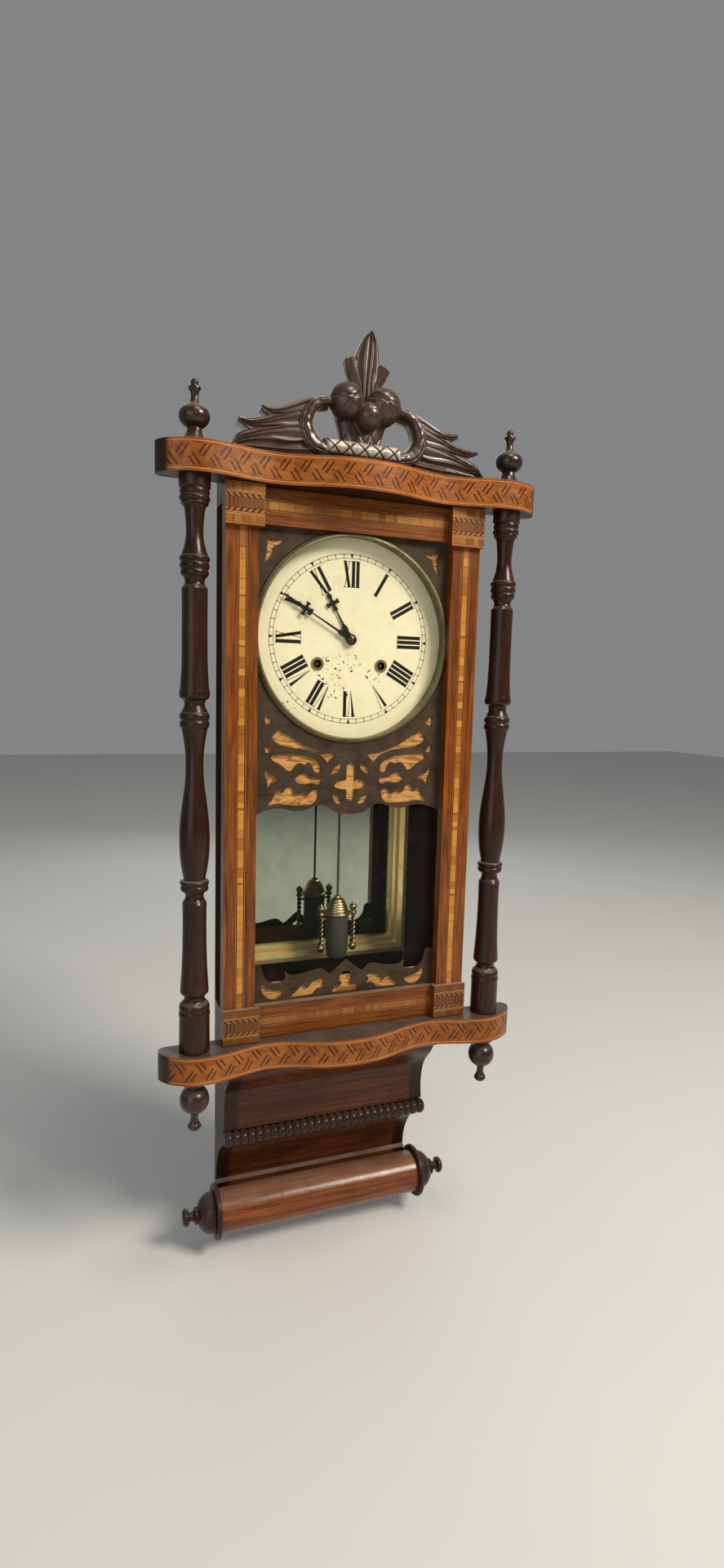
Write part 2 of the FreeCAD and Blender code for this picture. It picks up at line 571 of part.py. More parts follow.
# ---------------------------------------------------------------- dial and hands
def make_dial():
    """Painted tin dial with four ears, its brass bezel, winding grommets and all the brass screws."""
    face_r, tin = 110.0, 0.8
    dial = y_disc(0, DIAL_Z, face_r, DIAL_FACE, DIAL_FACE + tin)
    ear_x, ear_z = 84.0, 86.0
    ears = []
    for sx in (-1, 1):
        for sz in (-1, 1):
            away = Vector(sx * ear_x, 0, sz * ear_z)
            across = Vector(sz * ear_z, 0, -sx * ear_x).normalize() * 6.5
            near = Vector(away).normalize() * 104.0
            tab = [near + across * 1.4, away + across, away - across, near - across * 1.4]
            ears.append(xz_plate([(p.x, DIAL_Z + p.z) for p in tab], DIAL_FACE, DIAL_FACE + tin))
            ears.append(y_disc(away.x, DIAL_Z + away.z, 6.5, DIAL_FACE, DIAL_FACE + tin))
    dial = fuse([dial] + ears)
    dial = dial.cut(y_disc(0, DIAL_Z, 4.2, DIAL_FACE - 1, DIAL_FACE + 2))
    holes = [(s * WIND_X, WIND_Z) for s in (-1, 1)]
    for x, z in holes:
        dial = dial.cut(y_disc(x, z, 5.4, DIAL_FACE - 1, DIAL_FACE + 2))
    bezel_steps = [(RING_R, DIAL_FACE - 0.05), (RING_R, -118.2), (112.0, -119.6), (110.4, -121.4),
                   (108.9, RING_FRONT),
                   (107.9, -120.2), (108.1, -117.5), (109.6, -111.0), (109.6, DIAL_FACE - 0.05)]
    ring = Part.Face(polygon([(r, y, DIAL_Z) for r, y in bezel_steps]))
    bezel = ring.revolve(Vector(0, 0, DIAL_Z), Vector(0, 1, 0), 360)
    grommets = []
    for x, z in holes:
        flange = y_tube(x, z, 7.2, 4.4, DIAL_FACE - 1.0, DIAL_FACE)
        sleeve = y_tube(x, z, 5.35, 4.4, DIAL_FACE, DIAL_FACE + 2.6)
        grommets.append(fuse([flange, sleeve]))
    screws = []
    spots = [(sx * ear_x, DIAL_FACE, DIAL_Z + sz * ear_z) for sx in (-1, 1) for sz in (-1, 1)]
    spots += [(sx * 62.0, BACK_PLATE, z) for sx in (-1, 1) for z in (-80.0, -180.0)]
    for x, y, z in spots:
        head = Part.makeSphere(3.2, Vector(x, y + 1.2, z)).common(box(x - 4, x + 4, y - 4, y, z - 4, z + 4))
        head = head.cut(box(x - 4, x + 4, y - 3, y - 1.2, z - 0.4, z + 0.4))
        shank = y_disc(x, z, 1.4, y, y + 7.0)
        screws.append(fuse([head, shank]))
    screws += [y_disc(x, 0, 1.4, -9.0, -0.3) for x in HANGER_SCREW_XS]
    screw_holes = [y_disc(x, z, 1.45, y - 1, y + 8) for x, y, z in spots]
    for hole in screw_holes[:4]:
        dial = dial.cut(hole)
    return {"dial_pan": dial, "dial_bezel": bezel, "grommets": Part.makeCompound(grommets),
            "brass_screws": Part.makeCompound(screws)}, screw_holes


def hand_outline(length, cross, cross_half, flare, knob):
    """Half outline of a Maltese hand, from the hub outwards, as (half width, distance) points.

    The cross has a flared foot. Knob is the distance past the cross and the half width of the swelling there."""
    return [
        (5.0, 3.0), (2.4, 8.5), (3.1, 12.5), (2.7, 15.5), (1.2, 18.5), (0.65, cross - 9.0),
        (flare, cross - 8.4), (flare - 0.3, cross - 5.6), (1.6, cross - 3.6), (2.0, cross - 1.6),
        (cross_half - 2.4, cross - 1.5), (cross_half - 1.2, cross - 3.0), (cross_half, cross - 2.2),
        (cross_half, cross + 2.2), (cross_half - 1.2, cross + 3.0), (cross_half - 2.4, cross + 1.5),
        (2.0, cross + 1.6), (1.3, cross + 4.4), (knob[1], cross + knob[0]), (1.5, cross + knob[0] + 2.4),
        (1.1, length - 1.5), (0.35, length),
    ]


def make_hand(outline, angle, y0, y1, bore):
    """Flat hand with a round boss, turned to its angle clockwise from 12."""
    points = [(w, d) for w, d in outline] + [(-w, d) for w, d in reversed(outline)]
    hand = fuse([xz_plate([(w, DIAL_Z + d) for w, d in points], y0, y1), y_disc(0, DIAL_Z, 5.4, y0, y1)])
    hand = hand.cut(y_disc(0, DIAL_Z, bore, y0 - 1, y1 + 1))
    hand.rotate(Vector(0, 0, DIAL_Z), Vector(0, 1, 0), angle)
    return hand


# ---------------------------------------------------------------- gear train
def gear(centre, teeth, module, y0, y1, phase, bore, arms=0):
    """Spur wheel or pinion; phase is the angle, clockwise from up, of one tooth's centre."""
    pitch_r = teeth * module / 2
    root, tip = pitch_r - 1.25 * module, pitch_r + 0.85 * module
    step = 360.0 / teeth
    outline = []
    for i in range(teeth):
        middle = phase + i * step
        for share, radius in ((-0.23, root), (-0.07, tip), (0.07, tip), (0.23, root)):
            angle = math.radians(middle + share * step)
            outline.append((centre[0] + radius * math.sin(angle), centre[1] + radius * math.cos(angle)))
    wheel = xz_plate(outline, y0, y1)
    if arms:
        rim, hub, half_arm = root - 2.2, bore + 3.4, 1.5
        ring = y_tube(centre[0], centre[1], rim, hub, y0 - 1, y1 + 1)
        for i in range(arms):
            bar = box(-half_arm, half_arm, y0 - 2, y1 + 2, 0, pitch_r)
            bar.rotate(Vector(0, 0, 0), Vector(0, 1, 0), i * 360.0 / arms)
            ring = ring.cut(moved(bar, centre[0], 0, centre[1]))
        wheel = wheel.cut(ring)
    if bore:
        wheel = wheel.cut(y_disc(centre[0], centre[1], bore, y0 - 1, y1 + 1))
    return wheel


def mesh_phase(a, teeth_a, phase_a, b, teeth_b):
    """Phase that puts wheel b in mesh with wheel a, tooth to gap on the line of centres."""
    line = math.degrees(math.atan2(b[0] - a[0], b[1] - a[1]))
    ahead = ((line - phase_a) * teeth_a / 360.0) % 1.0
    return line + 180.0 + (0.5 + ahead) * 360.0 / teeth_b


def arbor(centre, y0, y1, radius):
    """Steel arbor with a fine pivot in each plate."""
    pivot = radius * 0.6
    body = y_disc(centre[0], centre[1], radius, FRONT_PLATE + PLATE_T + 0.2, BACK_PLATE - 0.2)
    ends = y_disc(centre[0], centre[1], pivot, y0, y1)
    return [body, ends]


def make_train():
    """Time train from spring to escapement, the strike's great wheel, and the motion work."""
    centre = (0.0, DIAL_Z)
    great = (WIND_X, WIND_Z)
    escape = (PENDULUM_X, PENDULUM_Z - 20.0)
    second = meeting_point(great, 27.0, centre, 20.4, 1)
    third = meeting_point(centre, 20.0, escape, 17.6, -1)
    plate_in, plate_out = FRONT_PLATE, BACK_PLATE + PLATE_T
    span = 8.5 * 360.0 / 32
    phase_escape = span / 2 + 360.0 / 32 / 4
    parts = {}

    tip = 14.0
    teeth = []
    for i in range(32):
        mid = phase_escape + i * 11.25
        for share, radius in ((-1.6, 11.6), (-0.55, tip), (0.55, tip), (4.6, 11.6)):
            angle = math.radians(mid + share)
            teeth.append((escape[0] + radius * math.sin(angle), escape[1] + radius * math.cos(angle)))
    wheel = xz_plate(teeth, -58.6, -57.4)
    pinion_e = gear(escape, 8, 0.4, -46.0, -40.0, 0.0, 0)
    parts["escape_wheel"] = fuse([wheel, pinion_e] + arbor(escape, -59.0, plate_out, 1.0))

    phase_third = mesh_phase(escape, 8, 0.0, third, 80)
    wheel = gear(third, 80, 0.4, -44.0, -42.8, phase_third, 0.5, 5)
    pinion = gear(third, 8, 0.5, -37.0, -30.0, 0.0, 0)
    parts["third_wheel"] = fuse([wheel, pinion] + arbor(third, plate_in, plate_out, 1.1))

    phase_centre = mesh_phase(third, 8, 0.0, centre, 72)
    wheel = gear(centre, 72, 0.5, -34.0, -32.6, phase_centre, 0.5, 5)
    pinion = gear(centre, 20, 0.6, -29.0, -24.0, 0.0, 0)
    shaft = y_disc(0, DIAL_Z, 1.2, -110.9, plate_out)
    hub = y_disc(0, DIAL_Z, 2.4, -52.0, -24.0)
    parts["centre_wheel"] = fuse([wheel, pinion, hub, shaft])

    phase_second = mesh_phase(centre, 20, 0.0, second, 48)
    wheel = gear(second, 48, 0.6, -27.4, -26.0, phase_second, 0.5, 5)
    pinion = gear(second, 12, 0.75, -52.4, -47.0, 0.0, 0)
    parts["second_wheel"] = fuse([wheel, pinion] + arbor(second, plate_in, plate_out, 1.2))

    phase_great = mesh_phase(second, 12, 0.0, great, 60)
    spring_out, spring_in = 19.5, 6.0
    for name, at, phase in (("time", great, phase_great), ("strike", (-WIND_X, WIND_Z), 0.0)):
        wheel = gear(at, 60, 0.75, -50.6, -49.0, phase, 3.08)
        coil = y_tube(at[0], at[1], spring_out, spring_in, -49.0, -31.0)
        for k in range(5):
            radius = spring_in + 2.2 + k * 2.3
            coil = coil.cut(y_tube(at[0], at[1], radius + 1.0, radius, -40.0, -30.0))
        parts[name + "_wheel"] = fuse([wheel, coil])
        winder = [y_disc(at[0], at[1], 3.0, -52.6, -24.0), y_disc(at[0], at[1], 2.0, -100.0, plate_out)]
        square = 1.7
        winder.append(box(at[0] - square, at[0] + square, -102.5, -86.0, at[1] - square, at[1] + square))
        parts[name + "_arbor"] = fuse(winder)

    stud = (-11.6, DIAL_Z - 8.6)
    reach = math.hypot(stud[0], stud[1] - DIAL_Z)
    phase_minute = mesh_phase(centre, 12, 0.0, stud, 36)
    fine = 2 * reach / 50
    minute_module = 2 * reach / 48
    wheel = gear(stud, 36, minute_module, -70.0, -68.6, phase_minute, 1.05)
    pinion = gear(stud, 10, fine, -75.4, -70.0, 0.0, 1.05)
    parts["minute_wheel"] = fuse([wheel, pinion])
    cannon = fuse([gear(centre, 12, minute_module, -70.2, -67.4, 0.0, 1.25),
                   y_tube(0, DIAL_Z, 2.0, 1.25, -107.7, -70.2)])
    phase_hour = mesh_phase(stud, 10, 0.0, centre, 40)
    parts["hour_wheel"] = fuse([gear(centre, 40, fine, -75.0, -73.6, phase_hour, 2.06, 4),
                                y_tube(0, DIAL_Z, 3.2, 2.06, -105.3, -73.6)])
    minute = hand_outline(90.0, 61.5, 7.6, 4.0, (9.0, 2.8))
    hour = hand_outline(57.5, 44.0, 7.4, 2.5, (8.2, 2.7))
    minute_hand = make_hand(minute, MINUTE_ANGLE, -108.5, -107.7, 1.25)
    dome = Part.makeSphere(7.4, Vector(0, -104.6, DIAL_Z))
    dome = dome.common(box(-9, 9, -113, -108.5, DIAL_Z - 9, DIAL_Z + 9))
    dome = dome.cut(y_disc(0, DIAL_Z, 1.25, -120, -100))
    parts["minute_hand"] = minute_hand
    parts["cannon_pinion"] = Part.makeCompound([cannon, dome])
    parts["hour_hand"] = make_hand(hour, HOUR_ANGLE, -106.1, -105.3, 2.06)
    bores = {"second": (second, 0.72), "third": (third, 0.66), "centre": (centre, 1.2),
             "great": (great, 2.0), "strike": ((-WIND_X, WIND_Z), 2.0), "escape": (escape, 0.6)}
    return parts, bores, stud


def make_escapement():
    """Verge with its two pallets, crutch and fork; it rocks about the same line as the suspension."""
    x, z = PENDULUM_X, PENDULUM_Z
    hub = y_disc(x, z, 2.6, -60.2, -57.0)
    arm = [(-13.0, -6.2), (-11.2, -7.4), (-11.4, -10.3), (-10.6, -10.1), (-9.9, -5.4), (-2.0, -1.4),
           (2.0, -1.4), (9.9, -5.4), (10.6, -10.1), (11.4, -10.3), (11.2, -7.4), (13.0, -6.2), (2.2, 1.6),
           (-2.2, 1.6)]
    anchor = xz_plate([(x + a, z + b) for a, b in arm], -58.6, -57.4)
    crutch = box(x - 0.8, x + 0.8, -60.2, -59.4, z - 44, z)
    bridge = box(x - 3.2, x + 3.2, -60.2, -59.4, z - 46, z - 43)
    prongs = [box(x + a, x + a + 1.2, -64.6, -59.4, z - 46, z - 43) for a in (-3.2, 2.0)]
    verge = fuse([hub, anchor, crutch, bridge] + prongs).cut(y_disc(x, z, 1.06, -70, -50))
    return {"verge": verge}


def make_plates(bores, stud, screw_holes):
    """Two brass plates joined by four posts; the front one carries the verge pin and the motion-work stud."""
    half_w, top, low = 56.0, -70.0, -190.0
    plates = {}
    ears = [(x, z) for x in (-61.5, 61.5) for z in (-80.0, -180.0)]
    cuts = [(-22.0, -98.0, 13.0), (38.0, -98.0, 11.0), (0.0, -172.0, 11.0)]
    for name, y0 in (("plate_front", FRONT_PLATE), ("plate_back", BACK_PLATE)):
        plate = box(-half_w, half_w, y0, y0 + PLATE_T, low, top)
        plate = plate.cut(Part.makeCompound([y_disc(x, z, r, y0 - 1, y0 + 3) for x, z, r in cuts]))
        if name == "plate_back":
            plate = fuse([plate] + [box(x - 7.5, x + 7.5, y0, y0 + PLATE_T, z - 7, z + 7) for x, z in ears])
            for hole in screw_holes[4:]:
                plate = plate.cut(hole)
        for at, radius in bores.values():
            plate = plate.cut(y_disc(at[0], at[1], radius + 0.06, y0 - 1, y0 + 3))
        plates[name] = plate
    pin = y_disc(PENDULUM_X, PENDULUM_Z, 1.0, -60.2, FRONT_PLATE)
    post = y_disc(stud[0], stud[1], 1.0, -77.0, FRONT_PLATE)
    plates["plate_front"] = fuse([plates["plate_front"], pin, post])
    corners = [(x, z) for x in (-50.0, 50.0) for z in (-77.0, -184.0)]
    posts = [y_disc(x, z, 3.0, FRONT_PLATE + PLATE_T, BACK_PLATE) for x, z in corners]
    plates["plate_back"] = fuse([plates["plate_back"]] + posts)
    cock = [box(PENDULUM_X - 3, PENDULUM_X + 3, -65.0, FRONT_PLATE, PENDULUM_Z + 8, PENDULUM_Z + 12),
            box(PENDULUM_X - 2, PENDULUM_X + 2, -65.0, -60.6, PENDULUM_Z + 5, PENDULUM_Z + 8),
            box(PENDULUM_X - 0.15, PENDULUM_X + 0.15, -64.0, -61.0, PENDULUM_Z, PENDULUM_Z + 5)]
    plates["suspension_cock"] = fuse(cock)
    return plates


def make_pendulum():
    """Rod on its suspension, with the jar, ribbed bell cap, side rods and their cross bars."""
    x, y = PENDULUM_X, PENDULUM_Y
    strip = box(x - 0.15, x + 0.15, y - 2, y + 1, PENDULUM_Z - 8, PENDULUM_Z - 0.02)
    clip = box(x - 1.4, x + 1.4, y - 1.5, y + 1.4, PENDULUM_Z - 14, PENDULUM_Z - 8)
    wire = rod((x, y, BOB_TOP + 22), (x, y, PENDULUM_Z - 14), 1.4)
    cap = turned(BOB_TOP, 15.4, [
        ("arc", 15.4, BOB_TOP + 2.6, 0.8), ("line", 13.2, BOB_TOP + 3.0), ("arc", 12.4, BOB_TOP + 6.0, 0.5),
        ("arc", 11.4, BOB_TOP + 9.2, 0.5), ("arc", 10.2, BOB_TOP + 12.4, 0.5),
        ("arc", 8.4, BOB_TOP + 15.6, 0.5),
        ("arc", 5.8, BOB_TOP + 18.8, 0.6), ("line", 3.4, BOB_TOP + 19.2),
        ("arc", 3.0, BOB_TOP + 22.0, 0.6)])
    jar = turned(BOB_BOTTOM - 9, 9.0, [
        ("arc", 12.4, BOB_BOTTOM - 5, 1.0), ("line", 12.6, BOB_BOTTOM), ("line", BOB_R, BOB_BOTTOM),
        ("line", BOB_R, BOB_TOP)])
    rod_x, low, high = 20.4, BOB_BOTTOM + 2, BOB_TOP + 4
    side = turned(low - 4, 1.6, [
        ("curve", [(3.6, low - 2.2), (4.4, low + 1.0), (2.8, low + 3.4)]), ("line", 2.5, low + 4),
        ("line", 2.5, high - 3), ("line", 4.8, high - 2.4), ("arc", 4.8, high, 0.5),
        ("curve", [(4.6, high + 3.6), (2.6, high + 7.4), (0.9, high + 9.0)])])
    bars = []
    for z in (BOB_TOP + 1.2, BOB_BOTTOM + 5):
        bars.append(rod((x + BOB_R + 0.1, y, z), (x + rod_x - 2.0, y, z), 1.3))
    arm_r = [fuse([moved(side, x + rod_x, y, 0)] + bars)]
    arm_l = [shape.mirror(Vector(x, 0, 0), Vector(1, 0, 0)) for shape in arm_r]
    ring = moved(cap, x, y, 0).cut(rod((x, y, BOB_TOP + 22), (x, y, BOB_TOP + 30), 1.45))
    arms = [a.cut(ring) for a in arm_r + arm_l]
    return {
        "pendulum_rod": fuse([strip, clip, wire]), "bob_cap": ring, "bob_jar": moved(jar, x, y, 0),
        "bob_rods": Part.makeCompound(arms),
    }


def make_strike():
    """Coil gong on an iron foot below the movement, and the hammer that strikes it."""
    turns, first, last, wire = 4, 9.0, 35.0, 1.7
    at = (0.0, -245.0)
    edge_in, edge_out = [], []
    steps = turns * 16
    for i in range(steps + 1):
        angle = 2 * math.pi * turns * i / steps
        radius = first + (last - first) * i / steps
        for edge, r in ((edge_in, radius - wire / 2), (edge_out, radius + wire / 2)):
            edge.append(Vector(at[0] + r * math.sin(angle), -26.0, at[1] + r * math.cos(angle)))
    curves = []
    for edge in (edge_in, edge_out):
        curve = Part.BSplineCurve()
        curve.interpolate(edge)
        curves.append(curve.toShape())
    ends = [Part.makeLine(edge_in[i], edge_out[i]) for i in (0, -1)]
    coil = Part.Face(Part.Wire(Part.sortEdges(curves + ends)[0])).extrude(Vector(0, 4, 0))
    foot = fuse([box(-11, 11, -17, -BACK_T, at[1] - 9, at[1] + 15),
                 y_disc(at[0], at[1], 5.5, -28.5, -17), y_disc(at[0], at[1] + 9.0, 2.0, -26, -17)])
    foot = foot.cut(coil)
    pivot = (-44.0, -186.0)
    head_z = at[1]
    hammer = [y_disc(pivot[0], pivot[1], 1.2, FRONT_PLATE + 2, BACK_PLATE - 0.2),
              box(pivot[0] - 1, pivot[0] + 1, -27, -25, head_z, pivot[1]),
              rod((pivot[0] - 7.5, -26, head_z), (pivot[0] + 4.5, -26, head_z), 4.5)]
    return {"gong_coil": coil, "gong_base": foot, "hammer": fuse(hammer)}, pivot


# ---------------------------------------------------------------- assembly
def main():
    """Build every node and write it to its own STEP file."""
    os.makedirs("parts", exist_ok=True)
    nodes = {}
    nodes.update(make_case())
    nodes["shelf_top"] = make_shelf(TOP_SHELF_UNDER, TOP_SHELF_TOP)
    nodes["shelf_bottom"] = make_shelf(BOTTOM_SHELF_UNDER, BOTTOM_SHELF_TOP)
    for maker in (make_pillars, make_finials, make_crest, make_bracket, make_mirror, make_door_frame,
                  make_frets,
                  make_hinges, make_escapement, make_pendulum):
        nodes.update(maker())
    dial, screw_holes = make_dial()
    nodes.update(dial)
    train, bores, stud = make_train()
    nodes.update(train)
    strike, pivot = make_strike()
    nodes.update(strike)
    nodes.update(make_plates(bores, stud, screw_holes))
    rails = nodes["inner_rails"]
    for hole in screw_holes:
        rails = rails.cut(hole)
    nodes["inner_rails"] = rails
    for name, shape in nodes.items():
        shape.exportStep("parts/" + name + ".step")
    print(len(nodes), "nodes", sorted(n for n, s in nodes.items() if not s.isValid()))


main()
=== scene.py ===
"""Looks of the inlaid wall clock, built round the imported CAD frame."""
import math

import bmesh
import bpy
from mathutils import Matrix, Vector, noise as mnoise


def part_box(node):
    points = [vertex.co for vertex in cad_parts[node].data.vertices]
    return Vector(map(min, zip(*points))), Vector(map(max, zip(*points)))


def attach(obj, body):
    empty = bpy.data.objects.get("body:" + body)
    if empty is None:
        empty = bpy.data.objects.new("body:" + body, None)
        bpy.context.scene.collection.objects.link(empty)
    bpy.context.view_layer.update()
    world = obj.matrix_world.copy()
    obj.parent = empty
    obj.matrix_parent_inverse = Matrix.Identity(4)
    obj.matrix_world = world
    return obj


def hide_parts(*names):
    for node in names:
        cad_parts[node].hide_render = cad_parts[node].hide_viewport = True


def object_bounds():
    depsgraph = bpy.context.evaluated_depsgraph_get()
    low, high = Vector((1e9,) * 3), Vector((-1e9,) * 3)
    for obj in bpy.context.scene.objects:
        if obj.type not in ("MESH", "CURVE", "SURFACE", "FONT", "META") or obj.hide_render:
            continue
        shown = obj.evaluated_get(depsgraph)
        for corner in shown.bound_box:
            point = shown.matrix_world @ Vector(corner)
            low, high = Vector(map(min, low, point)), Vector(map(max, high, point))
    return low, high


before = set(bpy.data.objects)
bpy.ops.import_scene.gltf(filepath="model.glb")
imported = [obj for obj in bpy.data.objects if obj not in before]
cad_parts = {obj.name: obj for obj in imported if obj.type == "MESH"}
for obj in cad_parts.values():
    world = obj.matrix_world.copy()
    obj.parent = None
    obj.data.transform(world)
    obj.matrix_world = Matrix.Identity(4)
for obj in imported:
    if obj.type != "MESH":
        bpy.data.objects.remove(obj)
cad_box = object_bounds()
scene = bpy.context.scene
MM = 0.001
# In millimetres: the dial's centre, the spacing of the cross cuts at the crest's foot, and the depths
# of the faces of the door, its corner blocks and the shelves.
DIAL_Z = -125.0
CROSS_PITCH = 16.5
DOOR_FACE, BLOCK_FACE, SHELF_FACE = -124.0, -134.9, -128.0


def corner(node):
    """Lowest and highest corner of a CAD node, in millimetres."""
    lo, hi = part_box(node)
    return [v / MM for v in lo], [v / MM for v in hi]


def srgb(r, g, b):
    """Linear colour of an 8 bit screen colour."""
    return tuple(c / 255 / 12.92 if c <= 10 else ((c / 255 + 0.055) / 1.055) ** 2.4
                 for c in (r, g, b)) + (1.0,)


# ---------- materials
class Shader:
    """A principled material whose coordinates are the clock's own, in millimetres."""

    def __init__(self, name):
        self.mat = bpy.data.materials.new(name)
        self.mat.use_nodes = True
        self.tree = self.mat.node_tree
        self.tree.nodes.clear()
        self.bsdf = self.node("BsdfPrincipled")
        self.link(self.bsdf.outputs[0], self.node("OutputMaterial").inputs[0])
        coord = self.node("TexCoord")
        self.pos = self.vector("MULTIPLY", coord.outputs["Object"], (1000.0, 1000.0, 1000.0))
        self.x, self.y, self.z = self.split(self.pos)

    def node(self, kind, **inputs):
        """A new shader node with these inputs."""
        n = self.tree.nodes.new("ShaderNode" + kind)
        for key, value in inputs.items():
            self.link(value, n.inputs[key])
        return n

    def link(self, value, socket):
        """Feeds a socket from another socket, or sets its own value."""
        if isinstance(value, bpy.types.NodeSocket):
            self.tree.links.new(value, socket)
        else:
            socket.default_value = value

    def vector(self, op, a, b):
        """Maths of two vectors."""
        n = self.node("VectorMath")
        n.operation = op
        self.link(a, n.inputs[0])
        self.link(b, n.inputs[1])
        return n.outputs[0]

    def split(self, vec):
        """The x, y and z of a vector."""
        n = self.node("SeparateXYZ")
        self.link(vec, n.inputs[0])
        return n.outputs

    def math(self, op, a, b=0.0):
        """Maths of one or two values."""
        n = self.node("Math")
        n.operation = op
        self.link(a, n.inputs[0])
        self.link(b, n.inputs[1])
        return n.outputs[0]

    def add(self, a, b):
        return self.math("ADD", a, b)

    def sub(self, a, b):
        return self.math("SUBTRACT", a, b)

    def mul(self, a, b):
        return self.math("MULTIPLY", a, b)

    def div(self, a, b):
        return self.math("DIVIDE", a, b)

    def abs(self, a):
        """Size of a without its sign."""
        return self.math("ABSOLUTE", a)

    def from_middle(self, value):
        """Distance from the middle of each unit cell, 0 to 0.5."""
        return self.abs(self.sub(self.math("FRACT", value), 0.5))

    def radius(self, a, b):
        """Length of the vector (a, b)."""
        return self.math("SQRT", self.add(self.mul(a, a), self.mul(b, b)))

    def grey(self, value):
        """One value as a colour."""
        n = self.node("CombineXYZ")
        for socket in n.inputs:
            self.link(value, socket)
        return n.outputs[0]

    def noise(self, vec, scale, detail=3.0, rough=0.55, twist=0.0):
        """Cloudy noise, mostly 0.3 to 0.7."""
        return self.node("TexNoise", Vector=vec, Scale=scale, Detail=detail, Roughness=rough,
                         Distortion=twist).outputs["Fac"]

    def patch(self, scale, detail, rough, *span):
        """Cloudy patches: noise remapped from one range to another."""
        return self.remap(self.noise(self.pos, scale, detail, rough), *span)

    def cells(self, vec, scale, jitter):
        """Distance to the nearest of scattered points."""
        return self.node("TexVoronoi", Vector=vec, Scale=scale, Randomness=jitter).outputs["Distance"]

    def ramp(self, fac, *stops):
        """Colour by fac, through (position, colour) stops."""
        n = self.node("ValToRGB")
        self.link(fac, n.inputs[0])
        els = n.color_ramp.elements
        while len(els) < len(stops):
            els.new(0.5)
        for el, (at, colour) in zip(els, stops):
            el.position = at
            el.color = colour
        return n.outputs[0]

    def mix(self, fac, a, b, blend="MIX"):
        """Colour a, going to b as fac goes to 1."""
        n = self.node("Mix")
        n.data_type = "RGBA"
        n.blend_type = blend
        self.link(fac, n.inputs[0])
        self.link(a, n.inputs[6])
        self.link(b, n.inputs[7])
        return n.outputs[2]

    def remap(self, value, a, b, c=0.0, d=1.0, smooth=True):
        """Takes the range a to b to the range c to d."""
        n = self.node("MapRange")
        n.interpolation_type = "SMOOTHSTEP" if smooth else "LINEAR"
        for v, socket in zip((value, a, b, c, d), n.inputs):
            self.link(v, socket)
        return n.outputs[0]

    def band(self, value, centre, half, soft=0.15):
        """1 where value is within half of centre."""
        away = self.abs(self.sub(value, centre))
        return self.remap(away, half - soft, half + soft, 1.0, 0.0)

    def both(self, a, b):
        """Mask where both masks are 1."""
        return self.mul(a, b)

    def either(self, a, b):
        """Mask where at least one mask is 1."""
        return self.math("MAXIMUM", a, b)

    def invert(self, a):
        """Mask where a is 0."""
        return self.sub(1.0, a)

    def bump(self, height, distance, strength):
        """Relief of the surface; distance is in metres."""
        n = self.node("Bump", Strength=strength, Distance=distance, Height=height)
        self.link(n.outputs[0], self.bsdf.inputs["Normal"])

    def edges(self, radius_mm):
        """How worn an edge is: 1 on sharp edges."""
        bevel = self.node("Bevel", Radius=radius_mm * MM)
        bevel.samples = 6
        dot = self.node("VectorMath")
        dot.operation = "DOT_PRODUCT"
        self.link(bevel.outputs[0], dot.inputs[0])
        self.link(self.node("NewGeometry").outputs["Normal"], dot.inputs[1])
        return self.remap(dot.outputs["Value"], 0.99, 0.75, 0.0, 1.0)

    def facing_up(self):
        """The height of the surface's normal, -1 to 1."""
        return self.split(self.node("NewGeometry").outputs["Normal"])[2]

    def dusty(self, colour, amount):
        """Dust that settles on faces that look up."""
        fac = self.both(self.remap(self.facing_up(), 0.35, 0.95), self.patch(0.03, 4, 0.6, 0.3, 0.7, 0.55, 1.0))
        return self.mix(self.mul(fac, amount), colour, DUST)

    def finish(self, colour, rough, **fixed):
        """The material, with its colour, roughness and the shader's own fixed values."""
        self.link(colour, self.bsdf.inputs["Base Color"])
        self.link(rough, self.bsdf.inputs["Roughness"])
        for key, value in fixed.items():
            self.bsdf.inputs[key.replace("_", " ")].default_value = value
        return self.mat


DUST = (0.30, 0.26, 0.21, 1.0)
GRAIN = {"x": (0.04, 1.0, 1.0), "y": (1.0, 0.04, 1.0), "z": (1.0, 1.0, 0.04)}


def grain(s, along, colours, seed, figure, rings, ring_depth):
    """Colour of straight-grained wood that runs along one axis; its pores are left in s.pores."""
    p = s.vector("ADD", s.vector("MULTIPLY", s.pos, GRAIN[along]), (seed, seed * 1.7, seed * 0.6))
    broad = s.noise(p, figure, 2, 0.5, 0.6)
    wave = s.math("SINE", s.mul(broad, rings * 2.4))
    rings_f = s.remap(wave, -1.0, 1.0)
    fine = s.noise(p, figure * 9, 5, 0.65, 0.3)
    cloud = s.noise(s.pos, 0.018, 3, 0.5)
    t = s.add(s.mul(rings_f, ring_depth * 0.5), s.mul(fine, 1.1 - ring_depth * 0.5))
    t = s.add(s.mul(t, 0.75), s.mul(cloud, 0.3))
    n = len(colours)
    colour = s.ramp(t, *[(0.28 + 0.46 * i / (n - 1), c) for i, c in enumerate(colours)])
    s.pores = s.remap(s.noise(p, 4.2, 2, 0.5), 0.62, 0.70)
    return s.mix(s.mul(s.pores, 0.55), colour, (0.012, 0.005, 0.003, 1))


def polish(s, low, high, scale=0.05):
    """Roughness of hand polish, cloudy between low and high."""
    return s.patch(scale, 5, 0.6, 0.3, 0.7, low, high)


